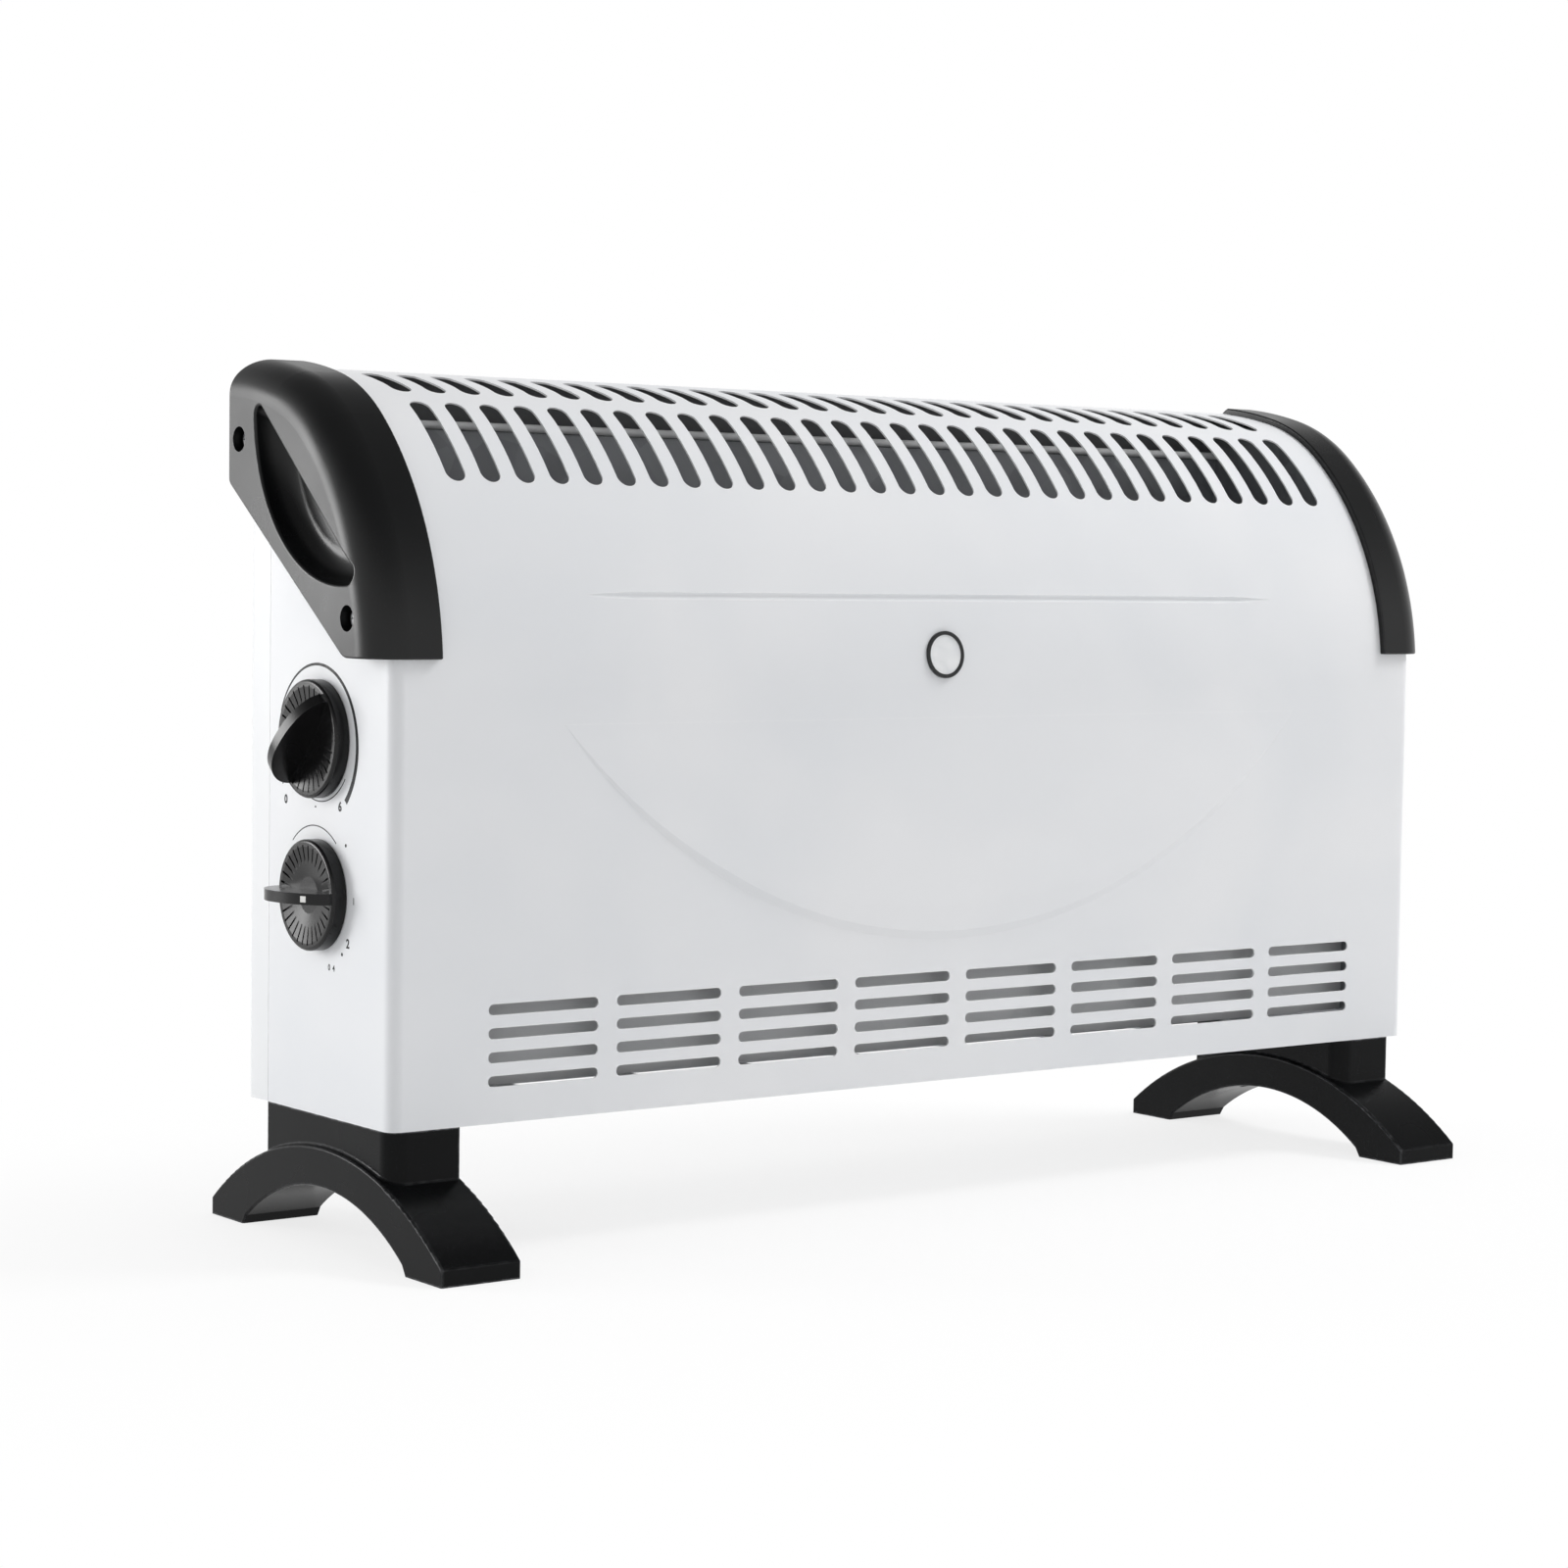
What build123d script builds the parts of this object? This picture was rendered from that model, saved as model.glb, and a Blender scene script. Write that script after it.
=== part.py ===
"""Free-standing convector heater, in millimetres.

The origin is on the floor, midway along the overall length and midway between the toes.
X runs along the heater towards the right-hand end, the front faces -Y, and Z is up.
"""

from build123d import *
import math
import os

os.makedirs("parts", exist_ok=True)

# Casing
casing_length = 576.0
casing_depth = 119.5
seam_depth = 100.0
casing_base = 54.0
straight_height = 178.4
low_radius = 140.0
low_turn = 48.8
middle_radius = 81.0
middle_turn = 25.9
top_radius = 200.0
side_radius = 5.7
sheet = 0.8
seam_gap = 0.3
side_step_rise = 88.6
tongue_reach = 8.0
tongue_rise = 67.6
base_rim = 14.0

# Lower louvres
louvre_columns = 8
louvre_rows = 4
louvre_pitch = 62.5
louvre_row_pitch = 9.75
louvre_length = 53.3
louvre_width = 4.5
louvre_top = 100.4
louvre_shift = 3.0

# Top slots
slot_count = 30
slot_pitch = 16.8
slot_shift = 0.6
slot_width = 9.4
front_slot_length = 47.5
front_slot_tilt = 45.15
rear_slot_length = 33.0
rear_slot_tilt = 75.9
slot_reach = 8.0

# Pressed relief on the front
dish_height = 2.0
dish_bank = 3.5
dish_bank_height = 1.3
dish_shoulder = 40.0
dish_shoulder_height = 2.43
dish_radius = 268.0
dish_drop = 115.3
dish_rise = 98.0
dish_step = 0.1
line_depth = 1.2
line_radius = 1.6
line_length = 343.0
line_taper = 25.0
line_tilt = 14.7

# End caps
cap_stand_out = 9.6
cap_wrap = 21.5
lip_thickness = 3.0
lip_gap = 0.15
cap_edge_radius = 16.0
cap_wall = 3.0
cap_rise = 9.6
cap_rear_rise = 80.1
cap_slope_end = -26.0
cap_rear_corner = 14.0
cap_low_corner = 9.0
grip_depth = 13.0
grip_floor_share = 0.62
grip_rim = 1.2
cap_edge_break = 0.8
grip_wall = 2.5
grip_gap = 1.0

# Cap screws, each as y and its height over the start of the front's curve
cap_screw_rises = [(61.0, 97.8), (-29.2, 25.4)]
cap_screw_sink = 5.3
cap_screw_seat = 4.0
cap_boss = 8.0
cap_screw_length = 12.0

# Controls, on the left-hand side
control_depth = 57.8
thermostat_drop = 24.2
control_pitch = 63.7
thermostat_knob_radius = 24.2
switch_knob_radius = 22.8
knob_gap = 0.4
skirt_height = 6.2
grip_height = 13.5
grip_thickness = 4.6
grip_crest = 4.0
dish_depth = 1.6
thermostat_angle = 48.0
switch_angle = 0.0
ridge_count = 30
ridge_length = 8.6
ridge_width = 0.9
ridge_depth = 0.9
ridge_inset = 2.2
knob_rim = 3.0
spindle_radius = 3.0
running_gap = 0.05
control_width = 34.0
thermostat_tall = 44.0
switch_tall = 38.0
control_thick = 22.0
control_screw_pitch = 28.0
screw_radius = 1.9
screw_head_radius = 3.6
screw_head_height = 2.2
screw_slot = 0.8
control_screw_length = 8.0
knob_wall = 2.5
knob_hollow = 3.2
knob_shoulder = 1.4
knob_boss = 5.5
mark_size = 2.5
mark_depth = 0.6
mark_proud = 0.15
mark_turn = 43.0
spindle_length = 16.0
blade_width = 6.3
blade_length = 8.0
blade_thickness = 0.8
blade_offset = 8.0

# Feet: one moulding, used at both ends
foot_length = 189.0
foot_width = 36.5
casing_lead = 49.5
toe_height = 7.2
arch_height = 41.5
inner_arch_height = 25.2
pad_length = 27.0
column_width = 32.4
column_offset = 3.0
column_corner = 8.0
foot_pitch = 532.8
foot_screw_pitch = 56.0
foot_screw_seat = 40.0
foot_screw_well = 5.0
foot_edge = 1.0
inner_arch_end = 4.0
column_root = 28.0

# Heating chamber
chamber_length = 511.0
partition_inset = 3.2
flange_width = 12.0
flange_foot = 110.0
flange_rise = 85.6
back_screw_inset = 14.0
back_screw_length = 8.0
reflector_depth = 107.5
reflector_rise = 106.6
reflector_foot = 8.0
hem_radius = 2.0
liner_depth = 11.0
liner_bottom = 68.0
liner_drop = 6.4
mica_thickness = 0.8
mica_height = 56.0
mica_length = 494.0
mica_rise = 28.0
ribbon_thickness = 0.4
ribbon_width = 1.6
ribbon_margin = 6.0
ribbon_span = 470.0
low_heat_turns = 26
high_heat_turns = 36
tab_width = 5.0
tab_drop = 4.0
bracket_reach = 14.0
bracket_depth = 29.0
bracket_lead = 6.0
cutout_x = 120.0
cutout_drop = 7.4
cutout_radius = 8.5
cutout_thick = 6.0
block_length = 36.0
block_width = 20.0
block_height = 16.0
block_y = 38.0
block_clear = 4.0

# Badge, left blank
badge_x = -7.5
badge_tilt = 4.3
badge_radius = 10.4
badge_rim = 1.7
badge_height = 1.2

# Cord inlet, through the back at the left-hand end
gland_x = -272.0
gland_z = 92.0
gland_bore = 3.7
gland_body = 6.5
gland_flange = 9.5
gland_flange_thickness = 2.5
gland_nut_thickness = 5.0
gland_length = 16.0

# Inner wires
wire_radius = 1.1
wire_bend = 3.5
wire_hole = 3.0
wire_lane_drop = 40.5
neutral_y = 53.0
live_y = 32.0
wire_clear = 4.5
wire_split = 0.4
common_rise = 10.0

# Places that follow from the sizes
front_y = -casing_lead
seam_y = front_y + seam_depth
back_y = front_y + casing_depth
curve_start = casing_base + straight_height
half = casing_length / 2
base_top = casing_base + 2 * sheet
foot_screw_length = base_top - foot_screw_seat
top_turn = 90.0 - low_turn - middle_turn
knob_reach = knob_gap + skirt_height + grip_height
centre_x = (knob_reach - cap_stand_out) / 2
control_y = front_y + control_depth
chamber_half = chamber_length / 2
headroom = 400.0
side_step = curve_start + side_step_rise
tongue_top = curve_start + tongue_rise
dish_bottom = curve_start - dish_drop
cap_bottom = curve_start + cap_rise
cap_rear_low = curve_start + cap_rear_rise
cap_screw_places = [(y, curve_start + rise) for y, rise in cap_screw_rises]
thermostat_height = curve_start - thermostat_drop
switch_height = thermostat_height - control_pitch
wire_lane = switch_height - wire_lane_drop
common_lane = wire_lane + common_rise
mica_bottom = wire_lane + mica_rise
reflector_bottom = wire_lane - reflector_foot
reflector_top = curve_start + reflector_rise
liner_top = curve_start - liner_drop
cutout_height = curve_start - cutout_drop
flange_head = curve_start + flange_rise
lowest_screw = flange_foot + back_screw_inset
highest_screw = flange_head - back_screw_inset
back_screw_heights = [lowest_screw, (lowest_screw + highest_screw) / 2, highest_screw]


def across(x):
    """Plane square to the length, x from the casing's middle; its axes are Y and Z."""
    return Plane(origin=(centre_x + x, 0, 0), x_dir=(0, 1, 0), z_dir=(1, 0, 0))


def facing(y, x=0.0, z=0.0):
    """Plane that faces the front at depth y; its axes are X and Z."""
    return Plane(origin=(centre_x + x, y, z), x_dir=(1, 0, 0), z_dir=(0, -1, 0))


def level(z, x=0.0, y=0.0):
    """Level plane at height z; its axes are X and Y."""
    return Plane(origin=(centre_x + x, y, z), x_dir=(1, 0, 0), z_dir=(0, 0, 1))


def outward(x, y, z):
    """Plane on the left-hand side that faces outwards; its axes are -Y and Z."""
    return Plane(origin=(centre_x + x, y, z), x_dir=(0, -1, 0), z_dir=(-1, 0, 0))


def skin_point(tilt):
    """Point (y, z) of the casing's skin where it leans back by tilt degrees."""
    y, z, start = front_y, curve_start, 0.0
    for radius, turn in ((low_radius, low_turn), (middle_radius, middle_turn), (top_radius, top_turn)):
        end = min(tilt, start + turn)
        y += radius * (math.cos(math.radians(start)) - math.cos(math.radians(end)))
        z += radius * (math.sin(math.radians(end)) - math.sin(math.radians(start)))
        start += turn
        if tilt <= start:
            break
    return y, z


def skin_plane(tilt, x=0.0):
    """Plane on the casing's skin where it leans back by tilt degrees, facing out."""
    y, z = skin_point(tilt)
    a = math.radians(tilt)
    return Plane(origin=(centre_x + x, y, z), x_dir=(1, 0, 0), z_dir=(0, -math.cos(a), math.sin(a)))


def skin_face(inset, bottom, back):
    """Outline of the casing's section, set in from its skin, from bottom to back."""
    with BuildSketch() as face:
        with BuildLine():
            front = Line((front_y + inset, bottom), (front_y + inset, curve_start))
            low = JernArc(front @ 1, front % 1, low_radius - inset, -low_turn)
            middle = JernArc(low @ 1, low % 1, middle_radius - inset, -middle_turn)
            top = JernArc(middle @ 1, middle % 1, top_radius - inset, -top_turn)
            Polyline(top @ 1, ((top @ 1).X, bottom), front @ 0)
        make_face()
        with Locations((back - casing_depth, headroom / 2)):
            Rectangle(2 * casing_depth, 2 * headroom, mode=Mode.INTERSECT)
    return face.sketch


def casing_block(inset, back, bottom=casing_base):
    """Solid block of the casing's shape, set in from its skin, with rounded sides."""
    with BuildPart() as block:
        with BuildSketch(across(0)):
            add(skin_face(inset, bottom, back))
        extrude(amount=half - inset, both=True)
        rim = block.faces().filter_by(Axis.X).edges()
        rim = rim.filter_by(lambda e: e.center().Y < back - 1 and e.center().Z > bottom + 1)
        fillet(rim, max(side_radius - inset, sheet))
    return block.part


def span_box(x_range, y_range, z_range):
    """Plain block between two corners, with x from the casing's middle."""
    size = [b - a for a, b in (x_range, y_range, z_range)]
    middle = [(a + b) / 2 for a, b in (x_range, y_range, z_range)]
    return Pos(centre_x + middle[0], middle[1], middle[2]) * Box(*size, mode=Mode.PRIVATE)


def raised_dish(shift):
    """Pressed dish on the front: a banked edge, proud at its foot, flush at its top, moved back by shift."""
    foot = front_y + shift
    hub = dish_bottom + dish_radius
    with BuildPart() as dish:
        with BuildSketch(level(hub)):
            with BuildLine():
                Polyline(
                    (0, foot + sheet / 2),
                    (dish_radius, foot + sheet / 2),
                    (dish_radius, foot),
                    (dish_radius - dish_bank, foot - dish_bank_height),
                    (dish_radius - dish_shoulder, foot - dish_shoulder_height),
                    (0, foot - dish_shoulder_height),
                    close=True,
                )
            make_face()
        revolve(axis=Axis((centre_x, 0, hub), (0, 1, 0)))
        lean = (0, -dish_rise, dish_height - dish_step)
        split(bisect_by=Plane(origin=(centre_x, foot - dish_height, dish_bottom), z_dir=lean), keep=Keep.BOTTOM)
        split(bisect_by=Plane.XY.offset(dish_bottom + dish_rise), keep=Keep.BOTTOM)
    return dish.part


def line_tool(radius):
    """Tool of the pressed line across the front, that sinks in by line_depth."""
    place = skin_plane(line_tilt) * Pos(0, 0, line_radius - line_depth)
    tool = place * Rot(0, 90, 0) * Cylinder(radius, line_length, mode=Mode.PRIVATE)
    for side in (1, -1):
        end = Pos(side * (line_length + line_taper) / 2, 0, 0) * Rot(0, side * 90, 0)
        tool += place * end * Cone(radius, radius - line_depth, line_taper, mode=Mode.PRIVATE)
    return tool


def screw(place, length):
    """Cross-headed pan screw, seated on a plane that faces its head."""
    with BuildPart() as pan_screw:
        with BuildSketch(place):
            Circle(screw_head_radius)
        extrude(amount=screw_head_height)
        fillet(pan_screw.faces().sort_by(Axis(place.origin, place.z_dir))[-1].edges(), screw_head_height / 3)
        with BuildSketch(place):
            Circle(screw_radius)
        extrude(amount=-length)
        with BuildSketch(place.offset(screw_head_height)):
            Rectangle(1.2 * screw_head_radius, screw_slot)
            Rectangle(screw_slot, 1.2 * screw_head_radius)
        extrude(amount=-screw_head_height / 2, mode=Mode.SUBTRACT)
    return pan_screw.part


def finish(part, name):
    """Label a finished piece and write it."""
    part.label = name
    export_step(part, "parts/" + name + ".step")


# Grip recess on the caps: its corners and its deepest point from its middle, as (y, z)
grip_middle = (9.0, curve_start + 74.6)
grip_top = (38.6, 40.6)
grip_end = (-47.5, -34.6)
grip_belly = (18.2, -14.8)
grip_corners = (3.5, 4.5)


def grip_face(grow, share=1.0):
    """Leaf-shaped mouth of the grip recess, grown all round, or a share of it."""
    top, end, belly = [(y * share, z * share) for y, z in (grip_top, grip_end, grip_belly)]
    with BuildSketch() as mouth:
        with BuildLine():
            Line(top, end)
            ThreePointArc(end, belly, top)
        make_face()
        fillet(mouth.vertices().sort_by(Axis.X)[-1], grip_corners[0] * share)
        fillet(mouth.vertices().sort_by(Axis.X)[0], grip_corners[1] * share)
        if grow:
            offset(amount=grow)
    return Pos(*grip_middle) * mouth.sketch


# Places of the screws and the controls
foot_column_x = -half + column_width / 2
foot_xs = [foot_column_x, foot_column_x + foot_pitch]
foot_y = (front_y + seam_y) / 2
control_heights = [thermostat_height, switch_height]
control_sizes = [(thermostat_height, thermostat_tall), (switch_height, switch_tall)]
reflector_y = front_y + reflector_depth
liner_y = front_y + liner_depth
wire_ys = [control_y - blade_offset, control_y + blade_offset]
mica_ys = [y + ribbon_thickness / 2 for y in wire_ys]
blade_x = -half + sheet + 0.7 * control_thick
back_screw_x = chamber_half - flange_width / 2
louvre_middle = louvre_top - (louvre_rows - 1) * louvre_row_pitch / 2
tuck = sheet + seam_gap
cap_outer = half + cap_stand_out

# Front casing: front, curved top and both sides in one pressed sheet
shell = casing_block(0.0, back_y) + raised_dish(0.0) - line_tool(line_radius)
cavity = casing_block(sheet, back_y + sheet, casing_base + sheet) + raised_dish(sheet)
cavity -= line_tool(line_radius + sheet)
rear_side = span_box((-half - 1, half + 1), (seam_y, back_y + 1), (casing_base - 1, side_step))
rim_half = half - column_width - base_rim / 2
rim_cut = span_box((-rim_half, rim_half), (front_y + base_rim, seam_y + 1), (0, base_top))
with BuildPart() as front_casing:
    add(shell - cavity - rear_side - rim_cut)
    with BuildSketch(facing(front_y, louvre_shift, louvre_middle)):
        with GridLocations(louvre_pitch, louvre_row_pitch, louvre_columns, louvre_rows):
            SlotOverall(louvre_length, louvre_width)
    extrude(amount=-3 * sheet, mode=Mode.SUBTRACT)
    for tilt, length in ((front_slot_tilt, front_slot_length), (rear_slot_tilt, rear_slot_length)):
        with BuildSketch(skin_plane(tilt, slot_shift)):
            with GridLocations(slot_pitch, 1, slot_count, 1):
                SlotOverall(length, slot_width, rotation=90)
        extrude(amount=slot_reach, both=True, mode=Mode.SUBTRACT)
    for height in control_heights:
        with BuildSketch(outward(-half, control_y, height)):
            Circle(2 * spindle_radius)
            with GridLocations(1, control_screw_pitch, 1, 2):
                Circle(screw_radius)
        extrude(amount=-3 * sheet, mode=Mode.SUBTRACT)
    with BuildSketch(across(0)):
        add(grip_face(grip_wall + grip_gap))
        with Locations(*cap_screw_places):
            Circle(screw_radius)
    extrude(amount=half + 1, both=True, mode=Mode.SUBTRACT)
    for x in foot_xs:
        with BuildSketch(level(casing_base, x, foot_y)):
            with GridLocations(1, foot_screw_pitch, 1, 2):
                Circle(screw_radius)
        extrude(amount=3 * sheet, mode=Mode.SUBTRACT)
finish(front_casing.part, "front_casing")


def pan_block(inset):
    """Block of the rear pan's shape, set in from its skin, with rounded rear edges."""
    ys = (seam_y + seam_gap, back_y - inset)
    block = casing_block(inset, back_y - inset, casing_base + inset)
    block &= span_box((-half, half), ys, (casing_base, side_step - seam_gap))
    rear = block.faces().sort_by(Axis.Y)[-1].edges()
    return fillet(rear.filter_by(lambda e: e.center().Z < side_step - 1), side_radius - inset)


# Back cover: a pan that closes the rear, tucked under the casing, with intake holes and the cord's hole
pan = pan_block(0.0) - pan_block(sheet)
inside = casing_block(tuck + sheet, back_y - sheet, casing_base + sheet)
tongue = casing_block(tuck, back_y) - inside
tongue_ys = (seam_y - tongue_reach, seam_y + seam_gap + sheet)
joggle = casing_block(sheet, back_y) - inside
joggle_ys = (seam_y + seam_gap, seam_y + seam_gap + sheet)
rise = (base_top + tongue_reach, tongue_top)
with BuildPart() as back_cover:
    add(pan)
    add(tongue & span_box((-half, half), (seam_y + seam_gap, back_y), (tongue_top, headroom)))
    add(tongue & span_box((-half, half), tongue_ys, rise))
    add(joggle & span_box((-half, half), joggle_ys, (rise[0], side_step - seam_gap)))
    with BuildSketch(facing(back_y, louvre_shift, louvre_middle)):
        with GridLocations(louvre_pitch, louvre_row_pitch, louvre_columns, louvre_rows):
            SlotOverall(louvre_length, louvre_width)
    with BuildSketch(facing(back_y, gland_x, gland_z)):
        Circle(gland_body)
    with BuildSketch(facing(back_y)):
        for z in back_screw_heights:
            with Locations((-back_screw_x, z), (back_screw_x, z)):
                Circle(screw_radius)
    extrude(amount=3 * sheet, both=True, mode=Mode.SUBTRACT)
    with BuildSketch(across(0)):
        with Locations(cap_screw_places[0]):
            Circle(screw_radius)
    extrude(amount=half, both=True, mode=Mode.SUBTRACT)
finish(back_cover.part, "back_cover")

# Base plate: floor of the casing, on the casing's rim
with BuildPart() as base_plate:
    plate_half = half - side_radius
    plate_ys = (front_y + tuck, back_y - sheet - side_radius)
    add(span_box((-plate_half, plate_half), plate_ys, (base_top - sheet, base_top)))
    with BuildSketch(level(base_top, louvre_shift, foot_y)):
        with GridLocations(louvre_pitch, 2 * louvre_row_pitch, louvre_columns, louvre_rows):
            SlotOverall(louvre_length, 2 * louvre_width)
    for x in foot_xs:
        with BuildSketch(level(base_top, x, foot_y)):
            with GridLocations(1, foot_screw_pitch, 1, 2):
                Circle(screw_radius)
    extrude(amount=-2 * sheet, mode=Mode.SUBTRACT)
finish(base_plate.part, "base_plate")


def cap_face(inset):
    """Side outline of an end cap, set in all round."""
    crown = skin_point(90.0)[1] + lip_thickness
    with BuildSketch() as face:
        with BuildLine():
            Polyline(
                (front_y - 20, cap_bottom),
                (cap_slope_end, cap_bottom),
                (back_y, cap_rear_low),
                (back_y, crown),
                (front_y - 20, crown),
                close=True,
            )
        make_face()
        corners = face.vertices()
        fillet(corners.sort_by_distance((back_y, crown))[0], cap_rear_corner)
        fillet(face.vertices().sort_by_distance((back_y, cap_rear_low))[0], cap_low_corner / 2)
        fillet(face.vertices().sort_by_distance((cap_slope_end, cap_bottom))[0], cap_low_corner)
        if inset:
            offset(amount=-inset)
    return face.sketch


def grip_cup(grow, depth):
    """Bowl of the grip recess, from the left-hand cap's outer face inwards."""
    with BuildPart() as cup:
        for sunk in (0.0, 0.35, 0.62, 0.82, 0.95, 1.0):
            share = grip_floor_share + (1 - grip_floor_share) * math.sqrt(1 - sunk**2)
            with BuildSketch(across(-cap_outer + depth * sunk)):
                add(grip_face(grow, share))
        loft()
    return cup.part


def lies_on(body):
    """Test that tells whether an edge lies on the surface of a body."""
    return lambda e: all(body.distance_to(e.position_at(t)) < 0.02 for t in (0.1, 0.5, 0.9))


# Left end cap: a hollow moulding that wraps over the casing's corner, with a grip recess
cap_core = span_box((-cap_outer, -half + cap_wrap), (front_y - 20, back_y), (0, headroom))
casing_clear = casing_block(-lip_gap, back_y + sheet)
cup_xs = (-cap_outer + cap_wall / 2, 0)
cup_wall = grip_cup(grip_wall, grip_depth + grip_wall) & span_box(cup_xs, (front_y, back_y), (0, headroom))
cup_space = grip_cup(0.0, grip_depth)
with BuildPart() as left_end_cap:
    with BuildSketch(across(0)):
        add(skin_face(-lip_thickness, cap_bottom - cap_edge_radius, back_y))
    extrude(amount=cap_outer, both=True)
    cap_rim = left_end_cap.faces().filter_by(Axis.X).edges()
    cap_rim = cap_rim.filter_by(lambda e: e.center().Y < back_y - 1 and e.center().Z > cap_bottom - 15)
    fillet(cap_rim, cap_edge_radius)
    with BuildSketch(across(0)):
        add(cap_face(0))
    extrude(amount=cap_outer, both=True, mode=Mode.INTERSECT)
    add(cap_core, mode=Mode.INTERSECT)
    wrap_end = centre_x - half + cap_wrap
    edges = left_end_cap.edges()
    lip_rim = edges.filter_by_position(Axis.X, wrap_end - 0.1, wrap_end + 0.1)
    lip_rim = lip_rim.filter_by(GeomType.LINE, reverse=True)
    low_rim = edges.filter_by(lambda e: e.center().Z < cap_rear_low + cap_low_corner / 2)
    low_rim = low_rim.filter_by(lambda e: e.center().X < wrap_end - 1).filter_by(Axis.X, reverse=True)
    front_foot = edges.filter_by(Axis.X).sort_by(Axis.Y)[0]
    fillet(lip_rim + low_rim + [front_foot], cap_edge_break)
    add(casing_clear, mode=Mode.SUBTRACT)
    with BuildSketch(across(-cap_outer + cap_wall)):
        add(skin_face(cap_edge_radius / 2, 0, back_y))
        add(cap_face(cap_wall), mode=Mode.INTERSECT)
    extrude(amount=cap_stand_out - cap_wall, mode=Mode.SUBTRACT)
    add(cup_wall)
    with BuildSketch(across(-half)):
        with Locations(*cap_screw_places):
            Circle(cap_boss)
    extrude(amount=cap_wall - cap_stand_out)
    add(cup_space, mode=Mode.SUBTRACT)
    mouth = left_end_cap.edges().filter_by(lambda e: e.center().X < centre_x - cap_outer + cap_wall / 2)
    fillet(mouth.filter_by(lies_on(cup_space)), grip_rim)
    with BuildSketch(across(-half - cap_screw_seat)):
        with Locations(*cap_screw_places):
            Circle(cap_screw_sink)
    extrude(amount=-cap_stand_out, mode=Mode.SUBTRACT)
    with BuildSketch(across(-half)):
        with Locations(*cap_screw_places):
            Circle(screw_radius)
    extrude(amount=-cap_stand_out, mode=Mode.SUBTRACT)
finish(left_end_cap.part, "left_end_cap")

# Right end cap: the left one's mirror image
finish(mirror(left_end_cap.part, about=across(0)), "right_end_cap")

# Screws of the end caps
with BuildPart() as end_cap_screws:
    cap_seat = half + cap_screw_seat
    for y, z in cap_screw_places:
        add(screw(outward(-cap_seat, y, z), cap_screw_length))
        right_seat = Plane(origin=(centre_x + cap_seat, y, z), x_dir=(0, 1, 0), z_dir=(1, 0, 0))
        add(screw(right_seat, cap_screw_length))
finish(end_cap_screws.part, "end_cap_screws")

# Badge, blank: a dark rim round a pale disc, on the curve of the front
badge_place = skin_plane(badge_tilt, badge_x)
casing_solid = casing_block(0.0, back_y)
with BuildPart() as badge_bezel:
    with BuildSketch(badge_place.offset(-sheet)):
        Circle(badge_radius)
        Circle(badge_radius - badge_rim, mode=Mode.SUBTRACT)
    extrude(amount=badge_height + sheet)
    fillet(badge_bezel.faces().sort_by(Axis.Y)[0].edges(), badge_rim / 4)
    add(casing_solid, mode=Mode.SUBTRACT)
finish(badge_bezel.part, "badge_bezel")

with BuildPart() as badge_disc:
    with BuildSketch(badge_place.offset(-sheet)):
        Circle(badge_radius - badge_rim)
    extrude(amount=badge_height / 2 + sheet)
    add(casing_solid, mode=Mode.SUBTRACT)
finish(badge_disc.part, "badge_disc")


def control_body(height, tall):
    """Thermostat or switch: a moulded block on the side wall, with its blades and spindle bore."""
    seat = outward(-half + sheet, control_y, height)
    with BuildPart() as body:
        with BuildSketch(seat):
            RectangleRounded(control_width, tall, 2.0)
        extrude(amount=-control_thick)
        with BuildSketch(seat):
            Circle(spindle_radius + running_gap)
        extrude(amount=-spindle_length - running_gap, mode=Mode.SUBTRACT)
        with BuildSketch(seat):
            with GridLocations(1, control_screw_pitch, 1, 2):
                Circle(screw_radius)
        extrude(amount=-control_screw_length, mode=Mode.SUBTRACT)
        for y in (-blade_offset, blade_offset):
            with BuildSketch(level(height - tall / 2, blade_x, control_y + y)):
                Rectangle(blade_thickness, blade_width)
            extrude(amount=-blade_length)
        if height == switch_height:
            with BuildSketch(level(height + tall / 2, blade_x, control_y + blade_offset)):
                Rectangle(blade_thickness, blade_width)
            extrude(amount=blade_length)
    return body.part


def control_spindle(height):
    """Spindle from inside a control's body to its knob."""
    with BuildPart() as spindle:
        with BuildSketch(outward(-half + sheet + spindle_length, control_y, height)):
            Circle(spindle_radius)
        extrude(amount=spindle_length + sheet + knob_gap + knob_hollow + 1.0)
    return spindle.part


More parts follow.
